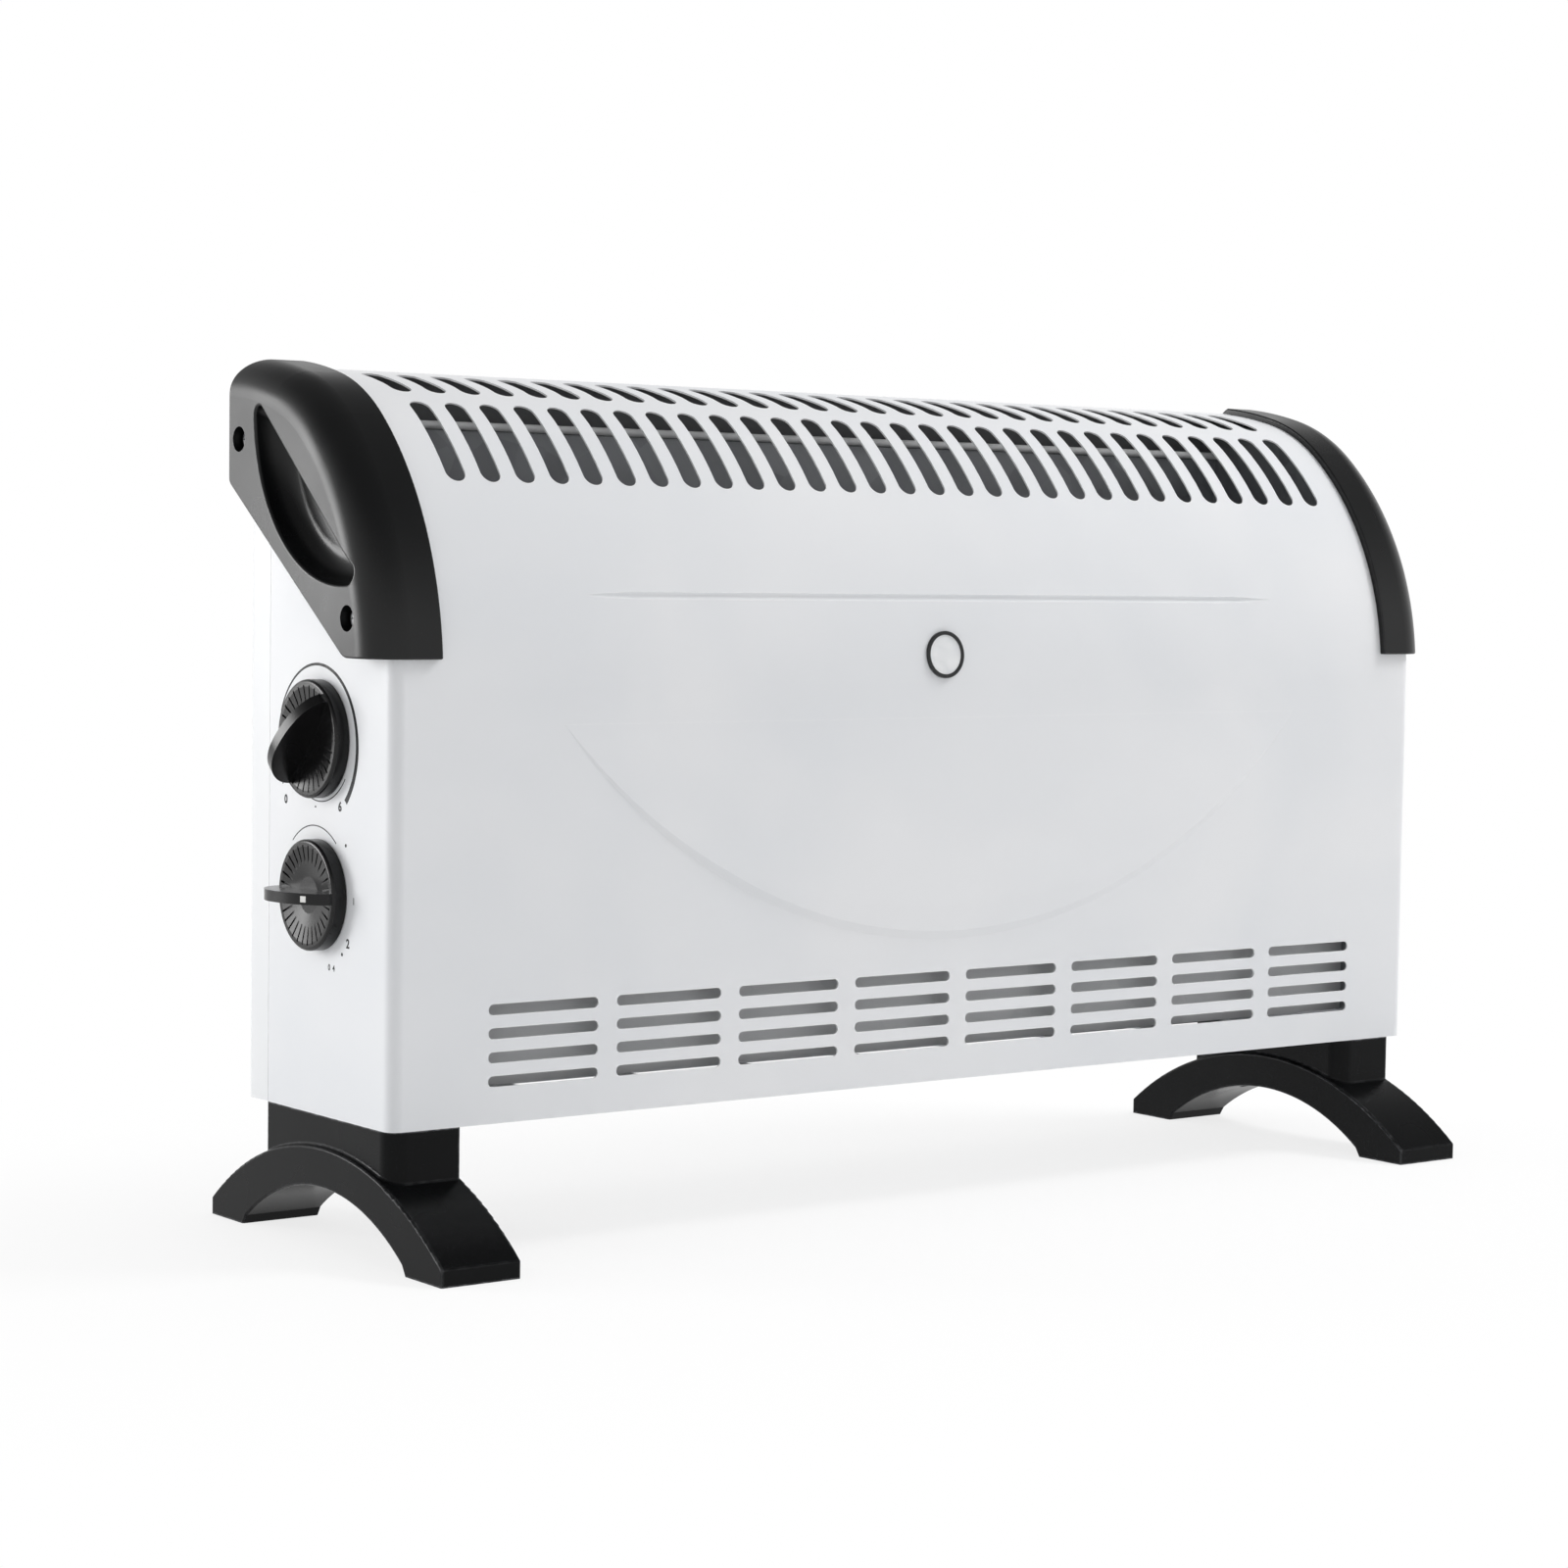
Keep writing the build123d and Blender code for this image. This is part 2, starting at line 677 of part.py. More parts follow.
def control_knob(radius, height, angle, marked):
    """Knob with a skirt, a dished and ridged face and a rounded grip across it."""
    turn = math.radians(angle)
    base = outward(-half - knob_gap, control_y, height)
    section = Plane(origin=base.origin, x_dir=(0, -1, 0), z_dir=(0, 0, -1))
    upright = (0, -math.sin(turn), -math.cos(turn))
    grip_plane = Plane(origin=base.origin, x_dir=(0, -math.cos(turn), math.sin(turn)), z_dir=upright)
    grip_half = radius - 1.0
    with BuildPart() as knob:
        with BuildSketch(section):
            with BuildLine():
                Polyline(
                    (0, knob_hollow),
                    (radius - knob_wall, knob_hollow),
                    (radius - knob_wall, 0),
                    (radius, 0),
                    (radius, skirt_height),
                    (radius - knob_rim, skirt_height),
                    (radius / 3, skirt_height - dish_depth),
                    (0, skirt_height - dish_depth),
                    close=True,
                )
            make_face()
        revolve(axis=Axis(base.origin, (-1, 0, 0)))
        top_rim = knob.edges().filter_by(GeomType.CIRCLE).filter_by(lambda e: e.radius > radius - 0.01)
        fillet(top_rim.sort_by(Axis.X)[0], knob_shoulder)
        with BuildSketch(base.offset(skirt_height)):
            with PolarLocations(radius - ridge_inset - ridge_length / 2, ridge_count):
                SlotOverall(ridge_length, ridge_width)
        extrude(amount=-ridge_depth, mode=Mode.SUBTRACT)
        with BuildSketch(base):
            Circle(knob_boss)
        extrude(amount=knob_hollow)
        with BuildSketch(grip_plane):
            with BuildLine():
                crest = (-grip_crest, skirt_height)
                EllipticalCenterArc(crest, grip_half + grip_crest, grip_height, 0, arc_size=90)
                EllipticalCenterArc(crest, grip_half - grip_crest, grip_height, 90, arc_size=90)
                Polyline(
                    (-grip_half, skirt_height),
                    (-grip_half, skirt_height - dish_depth),
                    (grip_half, skirt_height - dish_depth),
                    (grip_half, skirt_height),
                )
            make_face()
        extrude(amount=grip_thickness / 2, both=True)
        with BuildSketch(base):
            Circle(spindle_radius)
        extrude(amount=knob_hollow + 1.0, mode=Mode.SUBTRACT)
        if marked:
            add(index_mark(grip_plane, grip_half, 0.0), mode=Mode.SUBTRACT)
    return knob.part


def index_mark(grip_plane, grip_half, proud):
    """Square mark let into the shoulder of a knob's grip, standing proud of it."""
    t = math.radians(mark_turn)
    a, b = grip_half + grip_crest, grip_height
    point = (a * math.cos(t) - grip_crest, skirt_height + b * math.sin(t))
    slope = math.degrees(math.atan2(math.sin(t) / b, math.cos(t) / a))
    place = grip_plane * Pos(*point) * Rot(0, 0, slope)
    thick = mark_depth + proud
    return place * Pos(-mark_depth + thick / 2, 0, 0) * Box(thick, mark_size, mark_size, mode=Mode.PRIVATE)


finish(control_body(thermostat_height, thermostat_tall), "thermostat_body")
finish(control_body(switch_height, switch_tall), "switch_body")
finish(control_spindle(thermostat_height), "thermostat_spindle")
finish(control_spindle(switch_height), "switch_spindle")
thermostat_knob = control_knob(thermostat_knob_radius, thermostat_height, thermostat_angle, False)
finish(thermostat_knob, "thermostat_knob")
finish(control_knob(switch_knob_radius, switch_height, switch_angle, True), "switch_knob")
mark_plane = Plane(
    origin=outward(-half - knob_gap, control_y, switch_height).origin,
    x_dir=(0, -math.cos(math.radians(switch_angle)), math.sin(math.radians(switch_angle))),
    z_dir=(0, -math.sin(math.radians(switch_angle)), -math.cos(math.radians(switch_angle))),
)
finish(index_mark(mark_plane, switch_knob_radius - 1.0, mark_proud), "switch_index_mark")

# Screws of the thermostat and the switch
with BuildPart() as control_screws:
    for height in control_heights:
        for rise in (-control_screw_pitch / 2, control_screw_pitch / 2):
            add(screw(outward(-half, control_y, height + rise), control_screw_length))
finish(control_screws.part, "control_screws")

# Left foot: an arch with a toe at each end, under an upright column
with BuildPart() as left_foot:
    toe = foot_length / 2
    pad = toe - pad_length
    with BuildSketch(across(-half - column_offset)):
        with BuildLine():
            ThreePointArc((-toe, toe_height), (0, arch_height), (toe, toe_height))
            Polyline((toe, toe_height), (toe, 0), (pad - 1.0, 0), (pad - 3.5, inner_arch_end))
            ThreePointArc((pad - 3.5, inner_arch_end), (0, inner_arch_height), (3.5 - pad, inner_arch_end))
            Polyline((3.5 - pad, inner_arch_end), (1.0 - pad, 0), (-toe, 0), (-toe, toe_height))
        make_face()
    extrude(amount=foot_width)
    toe_tops = left_foot.edges().filter_by(Axis.X)
    toe_tops = toe_tops.filter_by_position(Axis.Z, toe_height - 0.1, toe_height + 0.1)
    sides = left_foot.faces().filter_by(Axis.X).edges().filter_by(lambda e: e.center().Z > 0.1)
    fillet(toe_tops + sides, foot_edge)
    with BuildSketch(level(column_root, foot_column_x, foot_y)) as column:
        Rectangle(column_width, seam_depth)
        fillet(column.vertices().sort_by_distance((-column_width, -seam_depth))[0], column_corner)
    extrude(amount=casing_base - column_root)
    arch_top = left_foot.edges().filter_by_position(Axis.Z, arch_height - 12, arch_height)
    left_side = centre_x + foot_column_x - column_width / 2
    arch_top = arch_top.filter_by_position(Axis.X, left_side - 0.1, left_side + column_width - 1)
    fillet(arch_top.filter_by(lambda e: e.center().Y < column_corner), foot_edge)
    with BuildSketch(level(foot_screw_seat, foot_column_x, foot_y)):
        with GridLocations(1, foot_screw_pitch, 1, 2):
            Circle(foot_screw_well)
    extrude(amount=-foot_screw_seat, mode=Mode.SUBTRACT)
    with BuildSketch(level(foot_screw_seat, foot_column_x, foot_y)):
        with GridLocations(1, foot_screw_pitch, 1, 2):
            Circle(screw_radius)
    extrude(amount=casing_base, mode=Mode.SUBTRACT)
finish(left_foot.part, "left_foot")

# Right foot: the same moulding at the other end
finish(Pos(foot_pitch, 0, 0) * left_foot.part, "right_foot")

# Screws of the feet, driven upwards
with BuildPart() as foot_screws:
    for x in foot_xs:
        for y in (-foot_screw_pitch / 2, foot_screw_pitch / 2):
            origin = (centre_x + x, foot_y + y, foot_screw_seat)
            add(screw(Plane(origin=origin, x_dir=(1, 0, 0), z_dir=(0, 0, -1)), foot_screw_length))
finish(foot_screws.part, "foot_screws")


def partition(side):
    """Wall at one end of the heating chamber, flanged at its rear and foot."""
    inner = side * chamber_half
    wall = side * sheet
    reach = -side * flange_width
    with BuildPart() as panel:
        with BuildSketch(across(inner)) as outline:
            add(skin_face(partition_inset, base_top, back_y - sheet))
            chamfer(outline.vertices().sort_by_distance((back_y, base_top))[0], side_radius)
            if side < 0:
                for y in (*wire_ys, neutral_y):
                    with Locations((y, wire_lane)):
                        Circle(wire_hole, mode=Mode.SUBTRACT)
        extrude(amount=wall)
        xs = sorted((inner, inner + reach))
        add(span_box(xs, (back_y - 2 * sheet, back_y - sheet), (flange_foot, flange_head)))
        xs = sorted((inner, inner - reach))
        foot_ys = (front_y + 2 * flange_width, block_y - block_length / 2 - block_clear)
        add(span_box(xs, foot_ys, (base_top, base_top + sheet)))
        with BuildSketch(facing(back_y)):
            for z in back_screw_heights:
                with Locations((side * back_screw_x, z)):
                    Circle(screw_radius)
        extrude(amount=-3 * sheet, both=True, mode=Mode.SUBTRACT)
    return panel.part


finish(partition(-1), "left_partition")
finish(partition(1), "right_partition")

# Screws of the back cover, into the partitions' flanges
with BuildPart() as cover_screws:
    for z in back_screw_heights:
        for x in (-back_screw_x, back_screw_x):
            origin = (centre_x + x, back_y, z)
            add(screw(Plane(origin=origin, x_dir=(1, 0, 0), z_dir=(0, 1, 0)), back_screw_length))
finish(cover_screws.part, "cover_screws")

# Reflector behind the element, with a rolled top edge
with BuildPart() as reflector:
    chamber = (-chamber_half, chamber_half)
    add(span_box(chamber, (reflector_y, reflector_y + sheet), (reflector_bottom, reflector_top)))
    flange_ys = (reflector_y - flange_width, reflector_y)
    add(span_box(chamber, flange_ys, (reflector_bottom, reflector_bottom + sheet)))
    with BuildSketch(across(-chamber_half)):
        with Locations((reflector_y + sheet / 2, reflector_top)):
            Circle(hem_radius)
    extrude(amount=chamber_length)
finish(reflector.part, "reflector")

# Front liner between the louvres and the element
with BuildPart() as front_liner:
    add(span_box(chamber, (liner_y, liner_y + sheet), (liner_bottom, liner_top)))
    for z in (liner_bottom, liner_top - sheet):
        add(span_box(chamber, (liner_y, liner_y + flange_width / 2), (z, z + sheet)))
finish(front_liner.part, "front_liner")

# Heating element: two mica boards, each with a resistance ribbon, on a bracket at each end
for name, y, turns in (("low_heat", mica_ys[0], low_heat_turns), ("high_heat", mica_ys[1], high_heat_turns)):
    with BuildPart() as board:
        ends = (-mica_length / 2, mica_length / 2)
        add(span_box(ends, (y, y + mica_thickness), (mica_bottom, mica_bottom + mica_height)))
    finish(board.part, name + "_board")
    with BuildPart() as ribbon:
        low = mica_bottom + ribbon_margin
        high = mica_bottom + mica_height - ribbon_margin
        step = ribbon_span / (2 * turns)
        points = [(-ribbon_span / 2 + i * step, high if i % 2 else low) for i in range(2 * turns + 1)]
        with BuildSketch(facing(y)):
            with BuildLine() as zigzag:
                Polyline(*points)
            trace(zigzag.line, line_width=ribbon_width)
            for x in (-ribbon_span / 2, ribbon_span / 2):
                with Locations((x, (low + mica_bottom - tab_drop) / 2)):
                    Rectangle(tab_width, low - mica_bottom + tab_drop)
        extrude(amount=ribbon_thickness)
    finish(ribbon.part, name + "_ribbon")

for name, side in (("left", -1), ("right", 1)):
    with BuildPart() as element_bracket:
        bracket_ys = (mica_ys[0] - bracket_lead, mica_ys[0] - bracket_lead + bracket_depth)
        xs = sorted((side * chamber_half, side * (chamber_half - sheet)))
        add(span_box(xs, bracket_ys, (mica_bottom - sheet, mica_bottom + mica_height)))
        xs = sorted((side * chamber_half, side * (chamber_half - bracket_reach)))
        add(span_box(xs, bracket_ys, (mica_bottom - sheet, mica_bottom)))
    finish(element_bracket.part, name + "_element_bracket")

# Thermal cut-out on the reflector, above the element
with BuildPart() as thermal_cutout:
    with BuildSketch(facing(reflector_y, cutout_x, cutout_height)):
        Circle(cutout_radius)
    extrude(amount=cutout_thick)
    for x in (-blade_offset / 2, blade_offset / 2):
        blade_bottom = cutout_height - cutout_radius - blade_length
        with BuildSketch(level(blade_bottom, cutout_x + x, reflector_y - cutout_thick + 1.0)):
            Rectangle(blade_width * 0.7, blade_thickness)
        extrude(amount=blade_length + cutout_radius / 2)
finish(thermal_cutout.part, "thermal_cutout")

# Terminal block on the base plate
with BuildPart() as terminal_block:
    xs = (gland_x - block_width / 2, gland_x + block_width / 2)
    ys = (block_y - block_length / 2, block_y + block_length / 2)
    add(span_box(xs, ys, (base_top, base_top + block_height)))
finish(terminal_block.part, "terminal_block")

# Cord inlet: a flanged bush through the back cover, and its nut
with BuildPart() as cord_gland:
    with BuildSketch(facing(back_y, gland_x, gland_z)):
        Circle(gland_flange)
    extrude(amount=-gland_flange_thickness)
    fillet(cord_gland.edges().sort_by(Axis.Y)[-1], 1.0)
    with BuildSketch(facing(back_y, gland_x, gland_z)):
        Circle(gland_body)
    extrude(amount=gland_length - gland_flange_thickness)
    with BuildSketch(facing(back_y, gland_x, gland_z)):
        Circle(gland_bore)
    extrude(amount=2 * gland_length, both=True, mode=Mode.SUBTRACT)
finish(cord_gland.part, "cord_gland")

with BuildPart() as gland_nut:
    with BuildSketch(facing(back_y - sheet, gland_x, gland_z)):
        RegularPolygon(gland_flange, 6)
        Circle(gland_body, mode=Mode.SUBTRACT)
    extrude(amount=gland_nut_thickness)
finish(gland_nut.part, "gland_nut")


def wire(points):
    """Round wire along straight runs with bent corners, x from the casing's middle."""
    path = [(centre_x + x, y, z) for x, y, z in points]
    with BuildPart() as run:
        with BuildLine() as route:
            if len(path) > 2:
                FilletPolyline(*path, radius=wire_bend)
            else:
                Line(*path)
        with BuildSketch(Plane(origin=route.line @ 0, z_dir=route.line % 0)):
            Circle(wire_radius)
        sweep()
    return run.part


# Wires between the block, the controls, the cut-out and the ribbons
blade_ends = [height - tall / 2 - blade_length for height, tall in control_sizes]
switch_top = switch_height + switch_tall / 2 + blade_length
tab_end = mica_bottom - tab_drop
block_top = base_top + block_height
cutout_end = cutout_height - cutout_radius - blade_length
clear_x = (blade_x + control_thick * 0.3 - chamber_half - sheet) / 2
turn_height = blade_ends[0] - wire_clear - wire_radius
tab_x = ribbon_span / 2
with BuildPart() as inner_wires:
    live = [
        (blade_x, wire_ys[0], blade_ends[0]),
        (blade_x, wire_ys[0], turn_height),
        (clear_x, wire_ys[0], turn_height),
        (clear_x, live_y, turn_height),
        (clear_x, live_y, block_top + 2 * wire_clear),
        (gland_x, live_y, block_top + 2 * wire_clear),
        (gland_x, live_y, block_top),
    ]
    add(wire(live))
    add(wire([(blade_x, wire_ys[1], blade_ends[0]), (blade_x, wire_ys[1], switch_top)]))
    for y in wire_ys:
        heat = [(blade_x, y, blade_ends[1]), (blade_x, y, wire_lane)]
        heat += [(-tab_x, y, wire_lane), (-tab_x, y, tab_end)]
        add(wire(heat))
    cutout_xs = [cutout_x - blade_offset / 2, cutout_x + blade_offset / 2]
    neutral = [(gland_x, neutral_y, block_top), (gland_x, neutral_y, wire_lane)]
    neutral += [(cutout_xs[0], neutral_y, wire_lane), (cutout_xs[0], neutral_y, cutout_end)]
    add(wire(neutral))
    tab_xs = [tab_x - wire_radius - wire_split / 2, tab_x + wire_radius + wire_split / 2]
    common = [(cutout_xs[1], neutral_y, cutout_end), (cutout_xs[1], neutral_y, common_lane)]
    common += [(tab_xs[1], neutral_y, common_lane), (tab_xs[1], wire_ys[1], common_lane)]
    add(wire([*common, (tab_xs[1], wire_ys[1], tab_end)]))
    link = [(tab_xs[0], wire_ys[0], tab_end), (tab_xs[0], wire_ys[0], tab_end - 2 * wire_clear)]
    link += [(tab_xs[0], wire_ys[1], tab_end - 2 * wire_clear), (tab_xs[0], wire_ys[1], tab_end)]
    add(wire(link))
finish(inner_wires.part, "inner_wires")
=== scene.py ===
"""Finishes, fine pieces, studio and camera for the free-standing convector heater, in metres."""

import logging
import math
from dataclasses import dataclass
from enum import Enum

import bmesh
import bpy
import numpy as np
from mathutils import Matrix, Vector


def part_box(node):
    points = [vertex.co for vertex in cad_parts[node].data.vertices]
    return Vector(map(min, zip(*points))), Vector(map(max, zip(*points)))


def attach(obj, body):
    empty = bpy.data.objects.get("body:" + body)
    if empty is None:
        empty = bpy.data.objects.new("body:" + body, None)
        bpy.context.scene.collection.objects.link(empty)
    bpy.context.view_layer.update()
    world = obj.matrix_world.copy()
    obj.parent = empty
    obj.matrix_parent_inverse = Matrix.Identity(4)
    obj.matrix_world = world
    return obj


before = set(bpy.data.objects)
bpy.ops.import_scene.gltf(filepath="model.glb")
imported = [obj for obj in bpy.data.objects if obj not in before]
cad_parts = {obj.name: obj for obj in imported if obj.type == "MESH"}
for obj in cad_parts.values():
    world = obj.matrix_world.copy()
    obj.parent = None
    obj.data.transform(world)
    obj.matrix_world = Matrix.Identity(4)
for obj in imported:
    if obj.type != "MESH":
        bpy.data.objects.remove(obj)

log = logging.getLogger("heater")
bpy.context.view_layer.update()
MM = 0.001

Colour = tuple[float, float, float, float]
Point = tuple[float, float, float]
Span = tuple[float, float]
Material = bpy.types.Material
Node = bpy.types.Node
Socket = bpy.types.NodeSocket
Tree = bpy.types.NodeTree


# ---------------------------------------------------------------- shared values

class Body(Enum):
    """Bodies that new pieces ride on."""

    HEATER = "heater"


class Slot(Enum):
    """Material slot of the record; no piece here takes its finish from it."""

    PRINT = "knob_black"


def linear(red: float, green: float, blue: float) -> Colour:
    """Colour as written on a colour chart, turned into the renderer's linear scale.

    Formula: a channel c of 0 to 255 is divided by 255; up to 0.04045 it is divided by 12.92,
    and above that it is ((c + 0.055) / 1.055) to the power 2.4.

    Args:
        red: Red channel, 0 to 255.
        green: Green channel, 0 to 255.
        blue: Blue channel, 0 to 255.

    Returns:
        Linear red, green, blue and an opaque alpha.
    """
    part = np.array([red, green, blue], float) / 255
    value = np.where(part <= 0.04045, part / 12.92, ((part + 0.055) / 1.055) ** 2.4)
    return float(value[0]), float(value[1]), float(value[2]), 1.0


WHITE = linear(255, 255, 255)


# ---------------------------------------------------------------- nodes and sums

def fill(node: Node, values: dict[str, float | tuple]) -> Node:
    """Set a node's inputs.

    Args:
        node: The node.
        values: Value of each input, where an underscore in a name stands for a space.

    Returns:
        The same node.
    """
    for name, value in values.items():
        node.inputs[name.replace("_", " ")].default_value = value
    return node


def add_node(tree: Tree, kind: str, **values: float | tuple) -> Node:
    """New node with the values of its inputs.

    Args:
        tree: The tree that it goes in.
        kind: Node type without its ShaderNode prefix.
        values: Value of each input, as fill takes them.

    Returns:
        The node.
    """
    return fill(tree.nodes.new("ShaderNode" + kind), values)


def axes_of(tree: Tree, vector: Socket) -> Node:
    """Split a vector.

    Args:
        tree: The tree that it is in.
        vector: The vector.

    Returns:
        A node with outputs X, Y and Z.
    """
    made = add_node(tree, "SeparateXYZ")
    tree.links.new(vector, made.inputs["Vector"])
    return made


def sum_of(tree: Tree, operation: str, first: Socket | float, second: Socket | float) -> Socket:
    """Result of a sum on two values, each linked or plain.

    Args:
        tree: The tree that it goes in.
        operation: The sum, such as MULTIPLY.
        first: First value.
        second: Second value.

    Returns:
        The result.
    """
    made = add_node(tree, "Math")
    made.operation = operation
    for value, socket in zip((first, second), made.inputs):
        if isinstance(value, float):
            socket.default_value = value
        else:
            tree.links.new(value, socket)
    return made.outputs["Value"]


def ramp(tree: Tree, source: Socket, span: Span, result: Span = (0.0, 1.0),
         smooth: bool = False) -> Socket:
    """Value spread from one range to another, and held at its ends.

    Args:
        tree: The tree that it goes in.
        source: The value.
        span: What the value is at the first result and at the last.
        result: First and last result.
        smooth: True for a soft start and end.

    Returns:
        The spread value.
    """
    made = add_node(tree, "MapRange", From_Min=span[0], From_Max=span[1], To_Min=result[0],
                    To_Max=result[1])
    if smooth:
        made.interpolation_type = "SMOOTHSTEP"
    tree.links.new(source, made.inputs["Value"])
    return made.outputs["Result"]


# ---------------------------------------------------------------- node groups

class Group(Enum):
    """Effects that several finishes share."""

    GRAIN = "fine_grain"
    CLOUD = "slow_cloud"
    EDGE = "edge_wear_and_highlight"
    DUST = "settled_dust"
    INSIDE = "inner_side"


class GroupBench:
    """Builds each shared effect once and hands it out.

    The spans and shares are the numbers of the formulas that the methods give.
    """

    pit_share: float = 0.35
    speck_span: Span = (0.62, 0.74)
    cloud_span: Span = (0.35, 0.65)
    turn_span: Span = (0.98, 0.8)
    patch_span: Span = (0.42, 0.6)
    patch_least: float = 0.35
    upward_span: Span = (0.55, 1.0)
    dust_scale: float = 60.0
    sheet_middle: float = 0.00525
    inner_span: Span = (-0.5, -0.7)

    def __init__(self) -> None:
        """Start with no groups built."""
        self.made: dict[Group, Tree] = {}

    def get(self, kind: Group) -> Tree:
        """Group of one kind, built at its first use.

        Args:
            kind: The effect wanted.

        Returns:
            The node tree of the effect.
        """
        if kind not in self.made:
            maker = {
                Group.GRAIN: self.grain,
                Group.CLOUD: self.cloud,
                Group.EDGE: self.edge,
                Group.DUST: self.dust,
                Group.INSIDE: self.inside,
            }[kind]
            self.made[kind] = maker()
        return self.made[kind]

    @staticmethod
    def blank(kind: Group, numbers: dict[str, float],
              outputs: list[str]) -> tuple[Tree, Node, Node]:
        """Empty group with its sockets, of which the first is Vector.

        Args:
            kind: The effect that names the group.
            numbers: Name and default of each number that it takes.
            outputs: Names of the value outputs.

        Returns:
            The tree, its input node and its output node.
        """
        tree = bpy.data.node_groups.new(kind.value, "ShaderNodeTree")
        tree.interface.new_socket("Vector", in_out="INPUT", socket_type="NodeSocketVector")
        for name, value in numbers.items():
            socket = tree.interface.new_socket(name, in_out="INPUT", socket_type="NodeSocketFloat")
            socket.default_value = value
        for name in outputs:
            tree.interface.new_socket(name, in_out="OUTPUT", socket_type="NodeSocketFloat")
        return tree, tree.nodes.new("NodeGroupInput"), tree.nodes.new("NodeGroupOutput")

    @staticmethod
    def pattern(tree: Tree, inlet: Node, kind: str, **values: float) -> Node:
        """Texture at the group's Vector, and at its Scale where it takes one.

        Args:
            tree: The group's tree.
            inlet: Its input node.
            kind: Node type of the texture without its ShaderNode prefix.
            values: Value of each other input.

        Returns:
            The texture node.
        """
        made = add_node(tree, kind, **values)
        for name in ("Vector", "Scale"):
            if name in inlet.outputs:
                tree.links.new(inlet.outputs[name], made.inputs[name])
        return made

    @staticmethod
    def cosine(tree: Tree, direction: Socket) -> Socket:
        """Cosine of the angle between a direction and the face's normal.

        Args:
            tree: The group's tree.
            direction: The direction, of length 1.

        Returns:
            The cosine.
        """
        dot = add_node(tree, "VectorMath")
        dot.operation = "DOT_PRODUCT"
        tree.links.new(direction, dot.inputs[0])
        tree.links.new(add_node(tree, "NewGeometry").outputs["Normal"], dot.inputs[1])
        return dot.outputs["Value"]

    def grain(self) -> Tree:
        """Skin of a moulded or coated surface: fine noise with rounded pits.

        Formula: the height is 0.65 times fractal noise plus 0.35 times the distance to the
        nearest of scattered points, both at the given scale. Specks are the same noise,
        spread from 0.62 to 0.74.

        Returns:
            The group, with inputs Vector and Scale and outputs Height and Speck.
        """
        tree, inlet, outlet = self.blank(Group.GRAIN, {"Scale": 900.0}, ["Height", "Speck"])
        noise = self.pattern(tree, inlet, "TexNoise", Detail=3.0, Roughness=0.55).outputs["Fac"]
        pits = self.pattern(tree, inlet, "TexVoronoi").outputs["Distance"]
        mix = add_node(tree, "Mix", Factor=self.pit_share)
        tree.links.new(noise, mix.inputs["A"])
        tree.links.new(pits, mix.inputs["B"])
        tree.links.new(mix.outputs["Result"], outlet.inputs["Height"])
        tree.links.new(ramp(tree, noise, self.speck_span), outlet.inputs["Speck"])
        return tree

    def cloud(self) -> Tree:
        """Slow change over a surface, as handling and uneven gloss leave it.

        Formula: soft noise, spread so that 0.35 becomes 0 and 0.65 becomes 1.

        Returns:
            The group, with inputs Vector and Scale and output Value.
        """
        tree, inlet, outlet = self.blank(Group.CLOUD, {"Scale": 14.0}, ["Value"])
        noise = self.pattern(tree, inlet, "TexNoise", Detail=2.0, Distortion=0.4).outputs["Fac"]
        tree.links.new(ramp(tree, noise, self.cloud_span), outlet.inputs["Value"])
        return tree

    def edge(self) -> Tree:
        """Edges that hands and packing have rubbed, and where some finishes paint the highlights
        of lit edges.

        Formula: one minus the cosine between the face's normal and the normal rounded over
        the radius, spread from 0.02 to 0.2, times a broken noise that stays at 0.35 or more.

        Returns:
            The group, with inputs Vector, Scale and Radius and output Mask.
        """
        tree, inlet, outlet = self.blank(Group.EDGE, {"Scale": 260.0, "Radius": 0.0006}, ["Mask"])
        rounded = add_node(tree, "Bevel")
        rounded.samples = 4
        tree.links.new(inlet.outputs["Radius"], rounded.inputs["Radius"])
        turn = ramp(tree, self.cosine(tree, rounded.outputs["Normal"]), self.turn_span)
        broken = self.pattern(tree, inlet, "TexNoise", Detail=4.0).outputs["Fac"]
        patch = ramp(tree, broken, self.patch_span, (self.patch_least, 1.0))
        tree.links.new(sum_of(tree, "MULTIPLY", turn, patch), outlet.inputs["Mask"])
        return tree

    def dust(self) -> Tree:
        """Dust that settles on faces that look up.

        Formula: the upward part of the normal, spread from 0.55 to 1, times fine noise, times
        the amount.

        Returns:
            The group, with inputs Vector and Amount and output Mask.
        """
        tree, inlet, outlet = self.blank(Group.DUST, {"Amount": 0.1}, ["Mask"])
        normal = axes_of(tree, add_node(tree, "NewGeometry").outputs["Normal"])
        upward = ramp(tree, normal.outputs["Z"], self.upward_span)
        noise = self.pattern(tree, inlet, "TexNoise", Scale=self.dust_scale, Detail=5.0)
        mask = sum_of(tree, "MULTIPLY", upward, noise.outputs["Fac"])
        mask = sum_of(tree, "MULTIPLY", mask, inlet.outputs["Amount"])
        tree.links.new(mask, outlet.inputs["Mask"])
        return tree

